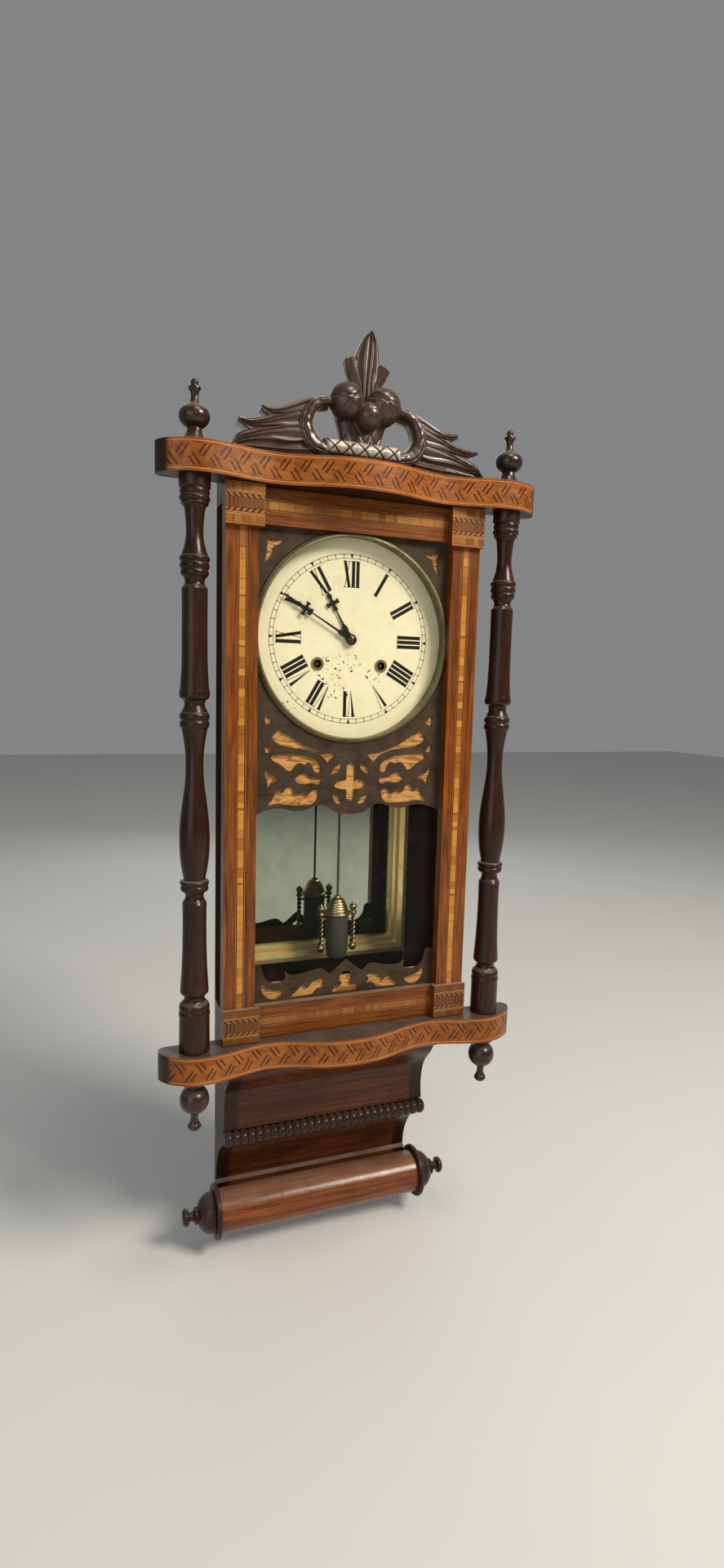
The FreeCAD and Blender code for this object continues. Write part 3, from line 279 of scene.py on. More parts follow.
def golden(s, axis, seed, pitch, dim):
    """Blocks of light veneer along an axis, each with its own tone, with thin dark joints."""
    u = s.div(axis, pitch)
    warp = s.add(u, s.mul(s.math("SINE", s.mul(u, 2.3)), 0.17))
    part = s.math("FRACT", warp)
    white = s.node("TexWhiteNoise")
    white.noise_dimensions = "1D"
    s.link(s.add(s.math("FLOOR", warp), seed), white.inputs["W"])
    tone = white.outputs["Value"]
    base = s.ramp(tone, (0.0, srgb(136, 80, 28)), (0.12, srgb(160, 101, 36)),
                  (0.5, srgb(184, 123, 46)), (1.0, srgb(198, 140, 58)))
    streak = s.noise(s.vector("MULTIPLY", s.pos, (1.4, 1.4, 1.4)), 0.8, 4, 0.6)
    base = s.mix(s.remap(streak, 0.35, 0.7, 0.0, 0.45), base, srgb(138, 82, 30))
    # dim darkens the gold: on the top rail it is painted shade of the shelf above, on the corner blocks painted
    # shade, on the bottom rail a duller tone.
    base = s.mix(dim, base, srgb(112, 62, 25))
    joint = s.either(s.remap(part, 0.0, 0.05, 1.0, 0.0), s.remap(part, 0.95, 1.0))
    dark = s.both(s.remap(part, 0.26, 0.24), s.remap(tone, 0.86, 0.87))
    base = s.mix(s.mul(joint, 0.7), base, srgb(66, 32, 13))
    return s.mix(s.mul(dark, 0.7), base, srgb(104, 56, 24))


WALNUT = [srgb(54, 24, 6), srgb(86, 42, 10), srgb(113, 59, 15), srgb(136, 76, 22)]
MAHOGANY = [srgb(20, 9, 5), srgb(32, 15, 9), srgb(44, 22, 13), srgb(56, 29, 17)]
EBONY = [srgb(22, 10, 6), srgb(33, 15, 9), srgb(44, 21, 12), srgb(58, 29, 17)]
TURNED_TONES = [srgb(24, 13, 9), srgb(35, 19, 13), srgb(48, 27, 19), srgb(60, 35, 25)]
LACQUER = dict(Coat_Weight=0.16, Coat_Roughness=0.16, Specular_IOR_Level=0.2)


def band_across(s, colour, run, offset, half, seed, dim):
    """Adds an inlaid band to colour: run is along it, offset is the distance from its centre line."""
    away = s.abs(offset)
    out = s.mix(s.band(away, half + 1.35, 0.95, 0.12), colour, srgb(58, 26, 12))
    out = s.mix(s.band(away, half + 1.35, 0.36, 0.1), out, srgb(154, 96, 40))
    out = s.mix(s.band(away, 0.0, half, 0.1), out, golden(s, run, seed, 10.0, dim))
    return s.mix(s.band(away, half + 0.05, 0.16, 0.08), out, srgb(70, 34, 14))


def door_wood(name, along, seed, centre, half, dim=0.0):
    """Polished walnut with an inlaid band, for one stile or rail."""
    s = Shader(name)
    colour = grain(s, along, WALNUT, seed, 0.07, 18, 0.35)
    offset = s.sub(s.x if along == "z" else s.z, centre)
    run = s.z if along == "z" else s.x
    front = s.remap(s.y, DOOR_FACE, DOOR_FACE - 0.4)
    colour = s.mix(front, colour, band_across(s, colour, run, offset, half, seed, dim))
    colour = s.mix(s.mul(s.edges(0.7), 0.35), colour, srgb(170, 104, 58))
    colour = s.dusty(colour, 0.5)
    s.bump(s.sub(s.noise(s.pos, 0.12, 3, 0.5), s.mul(s.pores, 0.12)), 0.0006, 0.5)
    return s.finish(colour, polish(s, 0.26, 0.42), **LACQUER)


# Heights of the middle of the upper and the lower corner blocks.
BLOCK_TOP, BLOCK_LOW = 2.4, -545.1


def block_wood():
    """Corner blocks: gold bands above and below, rope lines, and upright bars between."""
    s = Shader("block_inlay")
    colour = grain(s, "x", WALNUT, 5.0, 0.09, 20, 0.3)
    top = s.remap(s.z, -280.0, -279.0)
    mid = s.add(s.mul(top, BLOCK_TOP), s.mul(s.invert(top), BLOCK_LOW))
    v = s.sub(s.z, mid)
    av = s.abs(v)
    # Painted shade: the gold is dimmed, and the lower blocks' gold is darker still.
    gold = golden(s, s.add(s.x, 3.0), 3.0, 8.4, 0.5)
    gold = s.mix(s.mul(s.invert(top), 0.6), gold, srgb(104, 58, 24))
    colour = s.mix(s.band(av, 15.2, 3.9, 0.12), colour, gold)
    for at in (19.6, 11.0, 9.6):
        colour = s.mix(s.band(av, at, 0.38, 0.12), colour, srgb(196, 134, 66))
    for at in (10.3, 19.0):
        colour = s.mix(s.band(av, at, 0.3, 0.1), colour, srgb(66, 32, 14))
    side = s.math("SIGN", v)
    slant = s.add(s.div(s.x, 6.3), s.mul(s.mul(v, side), 0.16))
    rope = s.remap(s.from_middle(slant), 0.14, 0.22, 1.0, 0.0)
    in_rope = s.band(av, 6.9, 1.7, 0.1)
    colour = s.mix(in_rope, colour, s.mix(rope, srgb(160, 98, 46), srgb(38, 16, 7)))
    for at in (5.0, 8.9):
        colour = s.mix(s.band(av, at, 0.28, 0.1), colour, srgb(52, 24, 12))
    ax = s.abs(s.x)
    bar = s.remap(s.from_middle(s.div(ax, 4.1)), 0.06, 0.2, 1.0, 0.0)
    ends = s.either(s.band(ax, 137.5, 5.5, 0.2), s.mul(s.band(ax, 118.0, 14.0, 0.2), 0.25))
    tone = s.mix(s.both(bar, ends), srgb(118, 70, 28), srgb(48, 20, 9))
    colour = s.mix(s.band(av, 0.0, 4.8, 0.1), colour, tone)
    # Painted shade: every block is dimmed, the lower ones more than the upper.
    block_painted_shade = s.add(s.mul(top, 0.16), 0.68)
    colour = s.mix(1.0, colour, s.grey(block_painted_shade), "MULTIPLY")
    front = s.remap(s.y, BLOCK_FACE, BLOCK_FACE - 0.4)
    plain = grain(s, "x", WALNUT, 9.0, 0.09, 20, 0.3)
    colour = s.mix(front, plain, colour)
    colour = s.mix(s.mul(s.edges(0.8), 0.4), colour, srgb(176, 112, 62))
    colour = s.dusty(colour, 0.6)
    s.bump(s.noise(s.pos, 0.5, 4, 0.6), 0.0003, 0.5)
    return s.finish(colour, polish(s, 0.28, 0.45), **LACQUER)


# The shelves' inlaid strokes: spacing, where the rows start, and half a stroke's width.
STROKE_PITCH, STROKE_START, STROKE_HALF = 20.6, 407.5, 0.8
# The rows of strokes: shift along the shelf, lowest and highest point, lean.
STROKES = ((3.6, -2.0, 9.8, 0.66), (-0.8, 1.2, 9.8, 0.66), (14.4, -10.0, 1.6, -0.66),
           (9.8, -10.0, -2.0, -0.66))


def shelf_wood(name, mid, flip):
    """Orange-brown veneer with two rows of paired slanted lines; the ends are dark."""
    s = Shader(name)
    tones = [srgb(86, 42, 10), srgb(108, 56, 15), srgb(130, 71, 21), srgb(146, 85, 28)]
    base = grain(s, "x", tones, 2.0 + flip, 0.06, 16, 0.35)
    x = s.mul(s.x, flip)
    v = s.mul(s.sub(s.z, mid), flip)
    marks = 0.0
    for shift, low, high, lean in STROKES:
        centre = (low + high) / 2
        u = s.sub(x, s.mul(s.sub(v, centre), lean))
        cell = s.from_middle(s.div(s.add(u, STROKE_START - shift), STROKE_PITCH))
        half = STROKE_HALF / STROKE_PITCH
        part = s.both(s.remap(cell, half, half + 0.018, 1, 0), s.band(v, centre, (high - low) / 2, 0.5))
        marks = s.either(marks, part)
    ink = s.patch(0.6, 3, 0.6, 0.25, 0.6, 0.88, 1.0)
    front = s.remap(s.y, SHELF_FACE, SHELF_FACE - 2.0)
    upright = s.remap(s.abs(s.facing_up()), 0.5, 0.6, 1.0, 0.0)
    face = s.both(front, upright)
    glow = s.patch(0.045, 3, 0.6, 0.4, 0.7, 0.0, 0.45)
    base = s.mix(glow, base, srgb(164, 100, 32))
    inlaid = s.mix(s.both(marks, ink), base, srgb(62, 17, 6))
    av = s.abs(s.sub(s.z, mid))
    inlaid = s.mix(s.band(av, 12.6, 0.4, 0.15), inlaid, srgb(188, 118, 62))
    inlaid = s.mix(s.band(av, 14.9, 0.5, 0.2), inlaid, srgb(122, 60, 28))
    dark = grain(s, "x", MAHOGANY, 4.0, 0.07, 16, 0.3)
    ends = s.remap(s.abs(s.x), 200.0, 205.0)
    colour = s.mix(s.both(face, s.invert(ends)), dark, inlaid)
    colour = s.mix(s.mul(s.edges(1.0), 0.5), colour, srgb(176, 110, 62))
    colour = s.dusty(colour, 0.22)
    s.bump(s.sub(s.noise(s.pos, 0.15, 3, 0.5), s.mul(s.both(marks, face), 0.1)), 0.0006, 0.5)
    return s.finish(colour, polish(s, 0.28, 0.45), **LACQUER)


def bar_painted_highlight(s, colour):
    """Pale facets between the cross cuts of the bar at the foot of the carving: a painted highlight of light
    from above.
    """
    cuts = 0.0
    for lean in (1.0, -1.0):
        shifted = s.add(s.add(s.x, 2.0), s.mul(s.sub(s.z, 67.0), lean))
        line = s.remap(s.from_middle(s.div(shifted, CROSS_PITCH)), 0.40, 0.47)
        cuts = s.either(cuts, line)
    area = s.both(s.both(s.band(s.x, -1.8, 41.0, 1.5), s.band(s.z, 68.0, 6.2, 1.2)),
                  s.remap(s.y, -135.0, -136.5))
    patch = s.patch(0.12, 4, 0.6, 0.3, 0.7, 0.35, 0.8)
    # Painted highlight: a pale tone on the bar's faces between the cuts.
    return s.mix(s.both(s.both(area, s.invert(cuts)), patch), colour, srgb(206, 194, 176))


def dark_wood(name, along, colours, seed, low, high, wear=0.25, dust=0.4, back=False, gloss=1.0, over=None):
    """Dark polished wood, with wear on its edges and dust on top; over adds a last layer of colour."""
    s = Shader(name)
    colour = grain(s, along, colours, seed, 0.1, 14, 0.3)
    if back:
        bare = grain(s, along, [srgb(92, 66, 42), srgb(116, 86, 56), srgb(140, 106, 72)], 9.0, 0.08, 20, 0.5)
        colour = s.mix(s.remap(s.y, -0.6, -0.2), colour, bare)
    colour = s.mix(s.mul(s.edges(0.8), wear), colour, srgb(118, 72, 50))
    colour = s.dusty(colour, dust)
    s.bump(s.sub(s.noise(s.pos, 0.2, 4, 0.55), s.mul(s.pores, 0.1)), 0.0005, 0.45)
    if over:
        colour = over(s, colour)
    shine = {key: value * gloss if key != "Coat_Roughness" else value for key, value in LACQUER.items()}
    return s.finish(colour, polish(s, low, high), **shine)


def fret_wood():
    """Fret sawn from thin board, stained and dull with dust."""
    s = Shader("fret_dusty")
    tones = [srgb(34, 26, 19), srgb(44, 34, 25), srgb(54, 42, 31), srgb(66, 51, 38)]
    colour = grain(s, "x", tones, 7.0, 0.12, 12, 0.15)
    dust = s.patch(0.05, 5, 0.6, 0.35, 0.7, 0.0, 0.35)
    colour = s.mix(dust, colour, srgb(92, 76, 58))
    colour = s.mix(s.mul(s.edges(0.5), 0.35), colour, srgb(128, 92, 64))
    s.bump(s.noise(s.pos, 1.1, 5, 0.6), 0.0002, 0.6)
    return s.finish(colour, polish(s, 0.5, 0.72), Specular_IOR_Level=0.15)


def cloth():
    """Gold-tan silk with wavy dark bands that are painted shade of its folds."""
    s = Shader("silk_fold_shading")
    wave = s.noise(s.vector("MULTIPLY", s.pos, (0.018, 0.02, 0.11)), 1.0, 3, 0.5, 1.2)
    fold_shading = s.remap(s.math("SINE", s.mul(wave, 40.0)), -0.2, 1.0)
    broad = s.patch(0.03, 2, 0.5, 0.3, 0.7)
    # Painted shade: the wavy dark bands stand for the shade in the cloth's folds.
    colour = s.mix(fold_shading, srgb(196, 144, 76), srgb(130, 80, 36))
    colour = s.mix(s.mul(broad, 0.3), colour, srgb(176, 120, 60))
    weft, warp = s.math("SINE", s.mul(s.z, 12.0)), s.math("SINE", s.mul(s.x, 9.0))
    s.bump(s.mul(weft, warp), 0.00008, 0.6)
    return s.finish(colour, s.remap(fold_shading, 0.0, 1.0, 0.48, 0.62), Sheen_Weight=0.15, Sheen_Roughness=0.4,
                    Specular_IOR_Level=0.3)


def brass(name, base, dark, rough_low, rough_high, tarnish, scale=0.12, metal=1.0, rods=None):
    """Brass with cloudy tarnish; rods are the middle x, the x to each side and the y of two twisted
    rods that have dirt in their grooves."""
    s = Shader(name)
    patch = s.patch(scale, 6, 0.65, 0.35, 0.7)
    speck = s.patch(scale * 8, 3, 0.6, 0.55, 0.72)
    fac = s.math("MINIMUM", s.add(s.mul(patch, tarnish), s.mul(speck, tarnish * 0.6)), 1.0)
    colour = s.mix(fac, base, dark)
    if rods:
        across = s.sub(s.abs(s.sub(s.x, rods[0])), rods[1])
        deep = s.sub(s.y, rods[2])
        groove = s.both(s.remap(s.radius(across, deep), 1.7, 2.7, 1.0, 0.0),
                        s.band(s.z, (ROD_LOW + ROD_HIGH) / 2, 19.0, 0.5))
        colour = s.mix(groove, colour, srgb(30, 22, 12))
    rough = s.remap(fac, 0.0, 1.0, rough_low, rough_high, False)
    s.bump(s.noise(s.pos, scale * 14, 3, 0.5), 0.00006, 0.5)
    return s.finish(colour, rough, Metallic=metal)


def gilt():
    """Burnished gilt moulding with a cloudy tone and patches of dark brown dirt."""
    s = Shader("gilt_moulding")
    patch = s.patch(0.03, 3, 0.5, 0.4, 0.75)
    colour = s.mix(s.mul(patch, 0.4), (1.0, 0.79, 0.33, 1), (0.84, 0.61, 0.22, 1))
    dirt = s.patch(0.12, 3, 0.6, 0.66, 0.84, 0.0, 0.25)
    colour = s.mix(dirt, colour, (0.16, 0.1, 0.05, 1))
    s.bump(s.noise(s.pos, 0.3, 2, 0.5), 0.00004, 0.3)
    return s.finish(colour, s.remap(patch, 0, 1, 0.2, 0.3), Metallic=0.62)


def steel(name, tone, low, high, scale=0.3, metal=0.95):
    """Bare steel with fine drawn lines and a little oxide."""
    s = Shader(name)
    drawn = s.noise(s.vector("MULTIPLY", s.pos, (4.0, 4.0, 0.2)), 1.2, 3, 0.5)
    spots = s.patch(scale, 5, 0.6, 0.5, 0.75)
    colour = s.mix(spots, tone, tuple(c * 0.45 for c in tone[:3]) + (1,))
    s.bump(drawn, 0.00005, 0.5)
    return s.finish(colour, s.remap(drawn, 0.2, 0.8, low, high), Metallic=metal)


# The ovals of the dial where the paint has flaked: centre x, z and half width, height.
FLAKED = ((-22.0, -156.0, 27.0, 26.0), (-30.0, -168.0, 14.0, 12.0), (26.0, -163.0, 22.0, 15.0),
          (-14.0, -182.0, 26.0, 12.0), (-72.0, -199.0, 16.0, 9.0), (2.0, -150.0, 26.0, 18.0))


def dial_paint():
    """Cream paint, darkened towards the edge by painted shade of the bezel, flaked to dark tin round the
    winding holes.
    """
    s = Shader("dial_cream")
    r = s.radius(s.x, s.sub(s.z, DIAL_Z))
    cloud = s.noise(s.pos, 0.03, 4, 0.6)
    colour = s.ramp(cloud, (0.3, srgb(216, 207, 168)), (0.55, srgb(223, 215, 180)),
                    (0.75, srgb(210, 199, 156)))
    # Painted shade of the bezel: the cream darkens towards the edge.
    colour = s.mix(s.remap(r, 102.0, 110.0, 0.0, 0.3), colour, srgb(206, 192, 148))
    stain = s.patch(0.09, 5, 0.6, 0.58, 0.78, 0.0, 0.28)
    colour = s.mix(stain, colour, srgb(198, 172, 120))
    where = 0.0
    for cx, cz, rx, rz in FLAKED:
        dx, dz = s.div(s.sub(s.x, cx), rx), s.div(s.sub(s.z, cz), rz)
        part = s.remap(s.add(s.mul(dx, dx), s.mul(dz, dz)), 0.2, 1.0, 1.0, 0.0)
        where = s.either(where, part)
    fleck = s.noise(s.vector("MULTIPLY", s.pos, (0.8, 1.0, 1.25)), 0.26, 3, 0.55, 0.4)
    limit = s.remap(where, 0.0, 1.0, 0.83, 0.605, False)
    over = s.sub(fleck, limit)
    flake = s.remap(over, 0.0, 0.006)
    rim = s.remap(over, -0.02, 0.0)
    colour = s.mix(s.mul(rim, 0.5), colour, srgb(196, 168, 116))
    colour = s.mix(flake, colour, srgb(48, 36, 22))
    s.bump(s.add(s.mul(s.noise(s.pos, 0.2, 4, 0.5), 0.4), s.invert(flake)), 0.00012, 0.6)
    return s.finish(colour, s.remap(flake, 0, 1, 0.34, 0.7), Specular_IOR_Level=0.4)


def ink(name, tone):
    """Black numeral paint, thin and rubbed in places."""
    s = Shader(name)
    rub = s.patch(0.8, 4, 0.6, 0.64, 0.8, 0.0, 0.3)
    colour = s.mix(rub, tone, srgb(120, 112, 96))
    s.bump(s.noise(s.pos, 2.0, 3, 0.5), 0.00004, 0.5)
    return s.finish(colour, polish(s, 0.38, 0.55, 0.4), Specular_IOR_Level=0.2)


def mirror_glass():
    """Old silvering: clear in the middle, clouded and spotted towards its edges."""
    s = Shader("old_mirror")
    lo, hi = corner("mirror")
    dx = s.math("MINIMUM", s.sub(s.x, lo[0]), s.sub(hi[0], s.x))
    dz = s.math("MINIMUM", s.sub(s.z, lo[2]), s.sub(hi[2], s.z))
    edge = s.remap(s.math("MINIMUM", dx, dz), 4.0, 26.0, 1.0, 0.0)
    spots = s.noise(s.pos, 0.35, 6, 0.7)
    fox = s.remap(s.sub(spots, s.remap(edge, 0, 1, 0.78, 0.6, False)), 0.0, 0.04)
    cloud = s.patch(0.03, 4, 0.6, 0.35, 0.7)
    colour = s.mix(cloud, (0.34, 0.38, 0.30, 1), (0.28, 0.32, 0.25, 1))
    colour = s.mix(fox, colour, (0.09, 0.08, 0.06, 1))
    back = s.remap(s.y, -14.0, -13.5)
    colour = s.mix(back, colour, srgb(92, 60, 40))
    return s.finish(colour, s.remap(s.add(fox, back), 0, 1, 0.015, 0.5), Metallic=1.0)


def pane():
    """Thin window glass with a little dust."""
    s = Shader("window_glass")
    dust = s.patch(0.05, 6, 0.7, 0.45, 0.9)
    colour = s.mix(dust, (0.10, 0.12, 0.11, 1), (0.34, 0.33, 0.30, 1))
    s.bump(s.noise(s.pos, 0.012, 1, 0.5), 0.0003, 0.2)
    s.link(s.remap(dust, 0.0, 1.0, 0.02, 0.04), s.bsdf.inputs["Alpha"])
    return s.finish(colour, 0.03, Specular_IOR_Level=0.8)


def softwood():
    """Bare pine of the rails inside the case."""
    s = Shader("plain_softwood")
    colour = grain(s, "z", [srgb(120, 88, 54), srgb(150, 114, 74), srgb(176, 140, 96)], 3.0, 0.07, 22, 0.6)
    colour = s.dusty(colour, 0.6)
    s.bump(s.noise(s.pos, 0.9, 4, 0.6), 0.0003, 0.6)
    return s.finish(colour, polish(s, 0.55, 0.75), Specular_IOR_Level=0.3)


def japanned():
    """Chipped black japan on cast iron."""
    s = Shader("japanned_iron")
    chips = s.patch(0.6, 4, 0.6, 0.66, 0.72)
    colour = s.mix(chips, srgb(26, 22, 20), srgb(92, 66, 50))
    s.bump(s.noise(s.pos, 0.9, 5, 0.6), 0.0003, 0.7)
    return s.finish(colour, polish(s, 0.3, 0.5, 0.3))


def bracket_wood():
    """Mahogany veneer with a faint spray of marquetry leaves in the upper cove."""
    s = Shader("bracket_veneer_worn")
    tones = [srgb(42, 18, 7), srgb(62, 29, 12), srgb(82, 41, 18), srgb(104, 56, 27)]
    colour = grain(s, "x", tones, 6.0, 0.06, 14, 0.35)
    sides = s.either(s.remap(s.abs(s.x), 111.0, 114.0), s.remap(s.y, -1.0, -0.3))
    side_wood = grain(s, "z", MAHOGANY, 3.0, 0.1, 14, 0.3)
    leaf = s.cells(s.vector("MULTIPLY", s.pos, (0.6, 0.5, 1.0)), 0.09, 0.9)
    spray = s.both(s.remap(leaf, 0.26, 0.34, 1.0, 0.0), s.band(s.z, -641.0, 9.0, 4.0))
    spray = s.both(spray, s.band(s.x, 0.0, 96.0, 14.0))
    colour = s.mix(sides, colour, side_wood)
    colour = s.mix(s.mul(spray, 0.4), colour, srgb(122, 70, 38))
    colour = s.mix(s.mul(s.edges(1.0), 0.3), colour, srgb(112, 66, 42))
    colour = s.dusty(colour, 0.5)
    s.bump(s.sub(s.noise(s.pos, 0.14, 4, 0.5), s.mul(s.pores, 0.1)), 0.0006, 0.5)
    return s.finish(colour, polish(s, 0.24, 0.4), **LACQUER)


def roll_wood():
    """Highly polished reddish veneer with a fine inlaid line along the roll."""
    s = Shader("roll_veneer_polished")
    tones = [srgb(54, 22, 8), srgb(86, 40, 15), srgb(114, 57, 23), srgb(138, 76, 34)]
    colour = grain(s, "x", tones, 8.0, 0.06, 15, 0.4)
    lo, hi = corner("roll")
    cy, cz = (lo[1] + hi[1]) / 2, (lo[2] + hi[2]) / 2
    angle = s.math("ARCTAN2", s.sub(s.z, cz), s.sub(cy, s.y))
    line = s.band(angle, -0.62, 0.045, 0.01)
    dash = s.remap(s.math("FRACT", s.div(s.x, 7.0)), 0.45, 0.55)
    colour = s.mix(line, colour, s.mix(dash, srgb(150, 88, 44), srgb(70, 30, 14)))
    for at in (-0.70, -0.54):
        colour = s.mix(s.band(angle, at, 0.012, 0.006), colour, srgb(166, 104, 56))
    colour = s.dusty(colour, 0.3)
    s.bump(s.noise(s.pos, 0.12, 3, 0.5), 0.0006, 0.4)
    return s.finish(colour, polish(s, 0.22, 0.34), Coat_Weight=0.26, Coat_Roughness=0.2,
                    Specular_IOR_Level=0.25)


def stage_paint(name, tone):
    """Plain matt paint of the floor."""
    s = Shader(name)
    colour = s.mix(s.noise(s.pos, 0.004, 2, 0.5), tone, tuple(c * 0.96 for c in tone[:3]) + (1,))
    return s.finish(colour, 0.9, Specular_IOR_Level=0.1)


# The pendulum's side rods: their ends, and how far their middles lie in from the CAD node's sides.
ROD_LOW, ROD_HIGH, ROD_INSET = -489.0, -450.0, 5.3
BRASS_OLD = brass("brass_aged", (0.42, 0.33, 0.16, 1), (0.15, 0.11, 0.06, 1), 0.28, 0.55, 0.75)
BRASS_RING = brass("brass_ring_dull", (0.20, 0.172, 0.085, 1), (0.09, 0.08, 0.046, 1), 0.36, 0.58, 0.8,
                   0.05, 0.5)
BRASS_DARK = brass("brass_dark", (0.075, 0.062, 0.042, 1), (0.045, 0.037, 0.027, 1), 0.25, 0.4, 0.6)
BRASS_RIM = brass("brass_rim", (0.66, 0.50, 0.23, 1), (0.34, 0.25, 0.12, 1), 0.2, 0.36, 0.5, 0.3)
DARK_STEEL = steel("steel_dark", (0.09, 0.085, 0.08, 1), 0.35, 0.5)
BRASS_WORKS = brass("brass_works", (0.70, 0.52, 0.24, 1), (0.36, 0.24, 0.10, 1), 0.2, 0.4, 0.5)
BRASS_BOB = brass("brass_bob", (0.52, 0.40, 0.20, 1), (0.25, 0.18, 0.09, 1), 0.28, 0.46, 0.55, 0.1)
STEEL = steel("steel_bright", (0.48, 0.47, 0.45, 1), 0.2, 0.38)
ROD_STEEL = steel("steel_rod", (0.09, 0.088, 0.08, 1), 0.3, 0.45)
JAR = steel("jar_steel_dark", (0.042, 0.04, 0.026, 1), 0.5, 0.62, 0.05, 0.2)
TURNED = dark_wood("turned_mahogany", "z", EBONY, 1.0, 0.18, 0.34)
TURNED_X = dark_wood("turned_roll_ends", "x", TURNED_TONES, 2.0, 0.18, 0.34, 0.2, 0.12)
FINIALS = dark_wood("turned_finials", "z", TURNED_TONES, 6.0, 0.16, 0.32, gloss=1.6)
CASE = dark_wood("case_mahogany", "z", MAHOGANY, 3.0, 0.55, 0.7, 0.1, 0.3, back=True, gloss=0.02)
CARVED_TONES = [srgb(32, 19, 13), srgb(48, 30, 20), srgb(64, 41, 28), srgb(82, 54, 38)]
CARVED = dark_wood("carved_walnut", "z", CARVED_TONES, 4.0, 0.23, 0.38, 0.35, 0.2, gloss=2.0, over=bar_painted_highlight)
SLAB = dark_wood("slab_mahogany", "x", MAHOGANY, 5.0, 0.3, 0.5, back=True)
HAND_BLACK = ink("hand_black", srgb(22, 18, 15))
NUMERAL = ink("numeral_black", srgb(20, 15, 8))

FINISHES = (
    (CASE, "backboard side_left side_right"), (SLAB, "bracket_slab"), (CARVED, "crest"),
    (TURNED, "pillar_left pillar_right"), (TURNED_X, "roll_ends bracket_bead"),
    (FINIALS, "finials_upper finials_lower"), (bracket_wood(), "bracket_upper bracket_lower"),
    (softwood(), "inner_rails"), (roll_wood(), "roll"), (block_wood(), "corner_blocks"),
    (shelf_wood("shelf_top_parquetry", 38.3, 1.0), "shelf_top"),
    (shelf_wood("shelf_bottom_parquetry", -580.2, -1.0), "shelf_bottom"),
    (door_wood("stile_left_inlay", "z", 1.0, -126.7, 3.3), "door_stile_left"),
    (door_wood("stile_right_inlay", "z", 4.0, 126.7, 3.3), "door_stile_right"),
    # Its dim stands for painted shade cast by the shelf above.
    (door_wood("rail_top_inlay", "x", 2.0, 4.8, 4.2, 0.4), "door_rail_top"),
    (door_wood("rail_bottom_inlay", "x", 3.0, -546.0, 4.0, 0.68), "door_rail_bottom"),
    (fret_wood(), "fret_upper fret_lower"), (cloth(), "fabric_upper fabric_lower"),
    (pane(), "door_glass"), (mirror_glass(), "mirror"), (gilt(), "gilt_frame"),
    (dial_paint(), "dial_pan"), (BRASS_RING, "dial_bezel"), (BRASS_RIM, "grommets"),
    (HAND_BLACK, "minute_hand hour_hand"), (BRASS_DARK, "cannon_pinion"),
    (BRASS_OLD, "hanger_plate brass_screws case_hinge_leaves door_hinge_leaves"),
    (BRASS_WORKS, "plate_front plate_back suspension_cock hour_wheel minute_wheel centre_wheel "
                  "second_wheel third_wheel escape_wheel time_wheel strike_wheel"),
    (DARK_STEEL, "time_arbor strike_arbor"), (STEEL, "gong_coil hammer verge"),
    (japanned(), "gong_base"), (ROD_STEEL, "pendulum_rod"), (JAR, "bob_jar"),
    (BRASS_BOB, "bob_cap bob_rods"),
)
look = {name: mat for mat, names in FINISHES for name in names.split()}
for name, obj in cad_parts.items():
    obj.data.materials.clear()
    obj.data.materials.append(look[name])


# ---------- mesh helpers
def build(name, part, mat, body, replaces=(), smooth=True):
    """A mesh piece from (points in millimetres, faces), riding on a body."""
    verts, faces = part
    mesh = bpy.data.meshes.new(name)
    mesh.from_pydata([(x * MM, y * MM, z * MM) for x, y, z in verts], [], faces)
    bm = bmesh.new()
    bm.from_mesh(mesh)
    bmesh.ops.recalc_face_normals(bm, faces=bm.faces)
    bm.to_mesh(mesh)
    bm.free()
    if smooth:
        mesh.polygons.foreach_set("use_smooth", [True] * len(mesh.polygons))
    obj = bpy.data.objects.new(name, mesh)
    scene.collection.objects.link(obj)
    obj.data.materials.append(mat)
    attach(obj, body)
    if replaces:
        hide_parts(*replaces)
    return obj


def join_parts(parts):
    """Several (verts, faces) lists as one."""
    verts, faces = [], []
    for v, f in parts:
        base = len(verts)
        verts += v
        faces += [tuple(i + base for i in face) for face in f]
    return verts, faces


def grid_faces(rows, length, wrap=False):
    """Faces over rows of points; wrap joins the end of each row to its start."""
    faces = []
    for i in range(rows - 1):
        for j in range(length if wrap else length - 1):
            a, b = i * length + j, i * length + (j + 1) % length
            faces.append((a, a + length, b + length, b))
    return faces


def smooth_path(points, count):
    """Catmull-Rom points along a path of tuples, any number of values each."""
    out = []
    last = len(points) - 1
    for k in range(count):
        t = k / (count - 1) * last
        i = min(int(t), last - 1)
        f = t - i
        p0, p1, p2, p3 = (points[max(i - 1, 0)], points[i], points[i + 1], points[min(i + 2, last)])
        out.append(tuple(0.5 * (2 * b + (c - a) * f + (2 * a - 5 * b + 4 * c - d) * f * f
                                + (3 * b - a - 3 * c + d) * f ** 3) for a, b, c, d in zip(p0, p1, p2, p3)))
    return out


def lathe(profile, centre):
    """Turned solid from (radius, height) points."""
    verts, count = [], 48
    for r, h in profile:
        for k in range(count):
            a = 2 * math.pi * k / count
            verts.append((centre[0] + r * math.cos(a), centre[1] + r * math.sin(a), centre[2] + h))
    faces = grid_faces(len(profile), count, wrap=True)
    faces.append(tuple(range(count)))
    faces.append(tuple((len(profile) - 1) * count + k for k in range(count)))
    return verts, faces


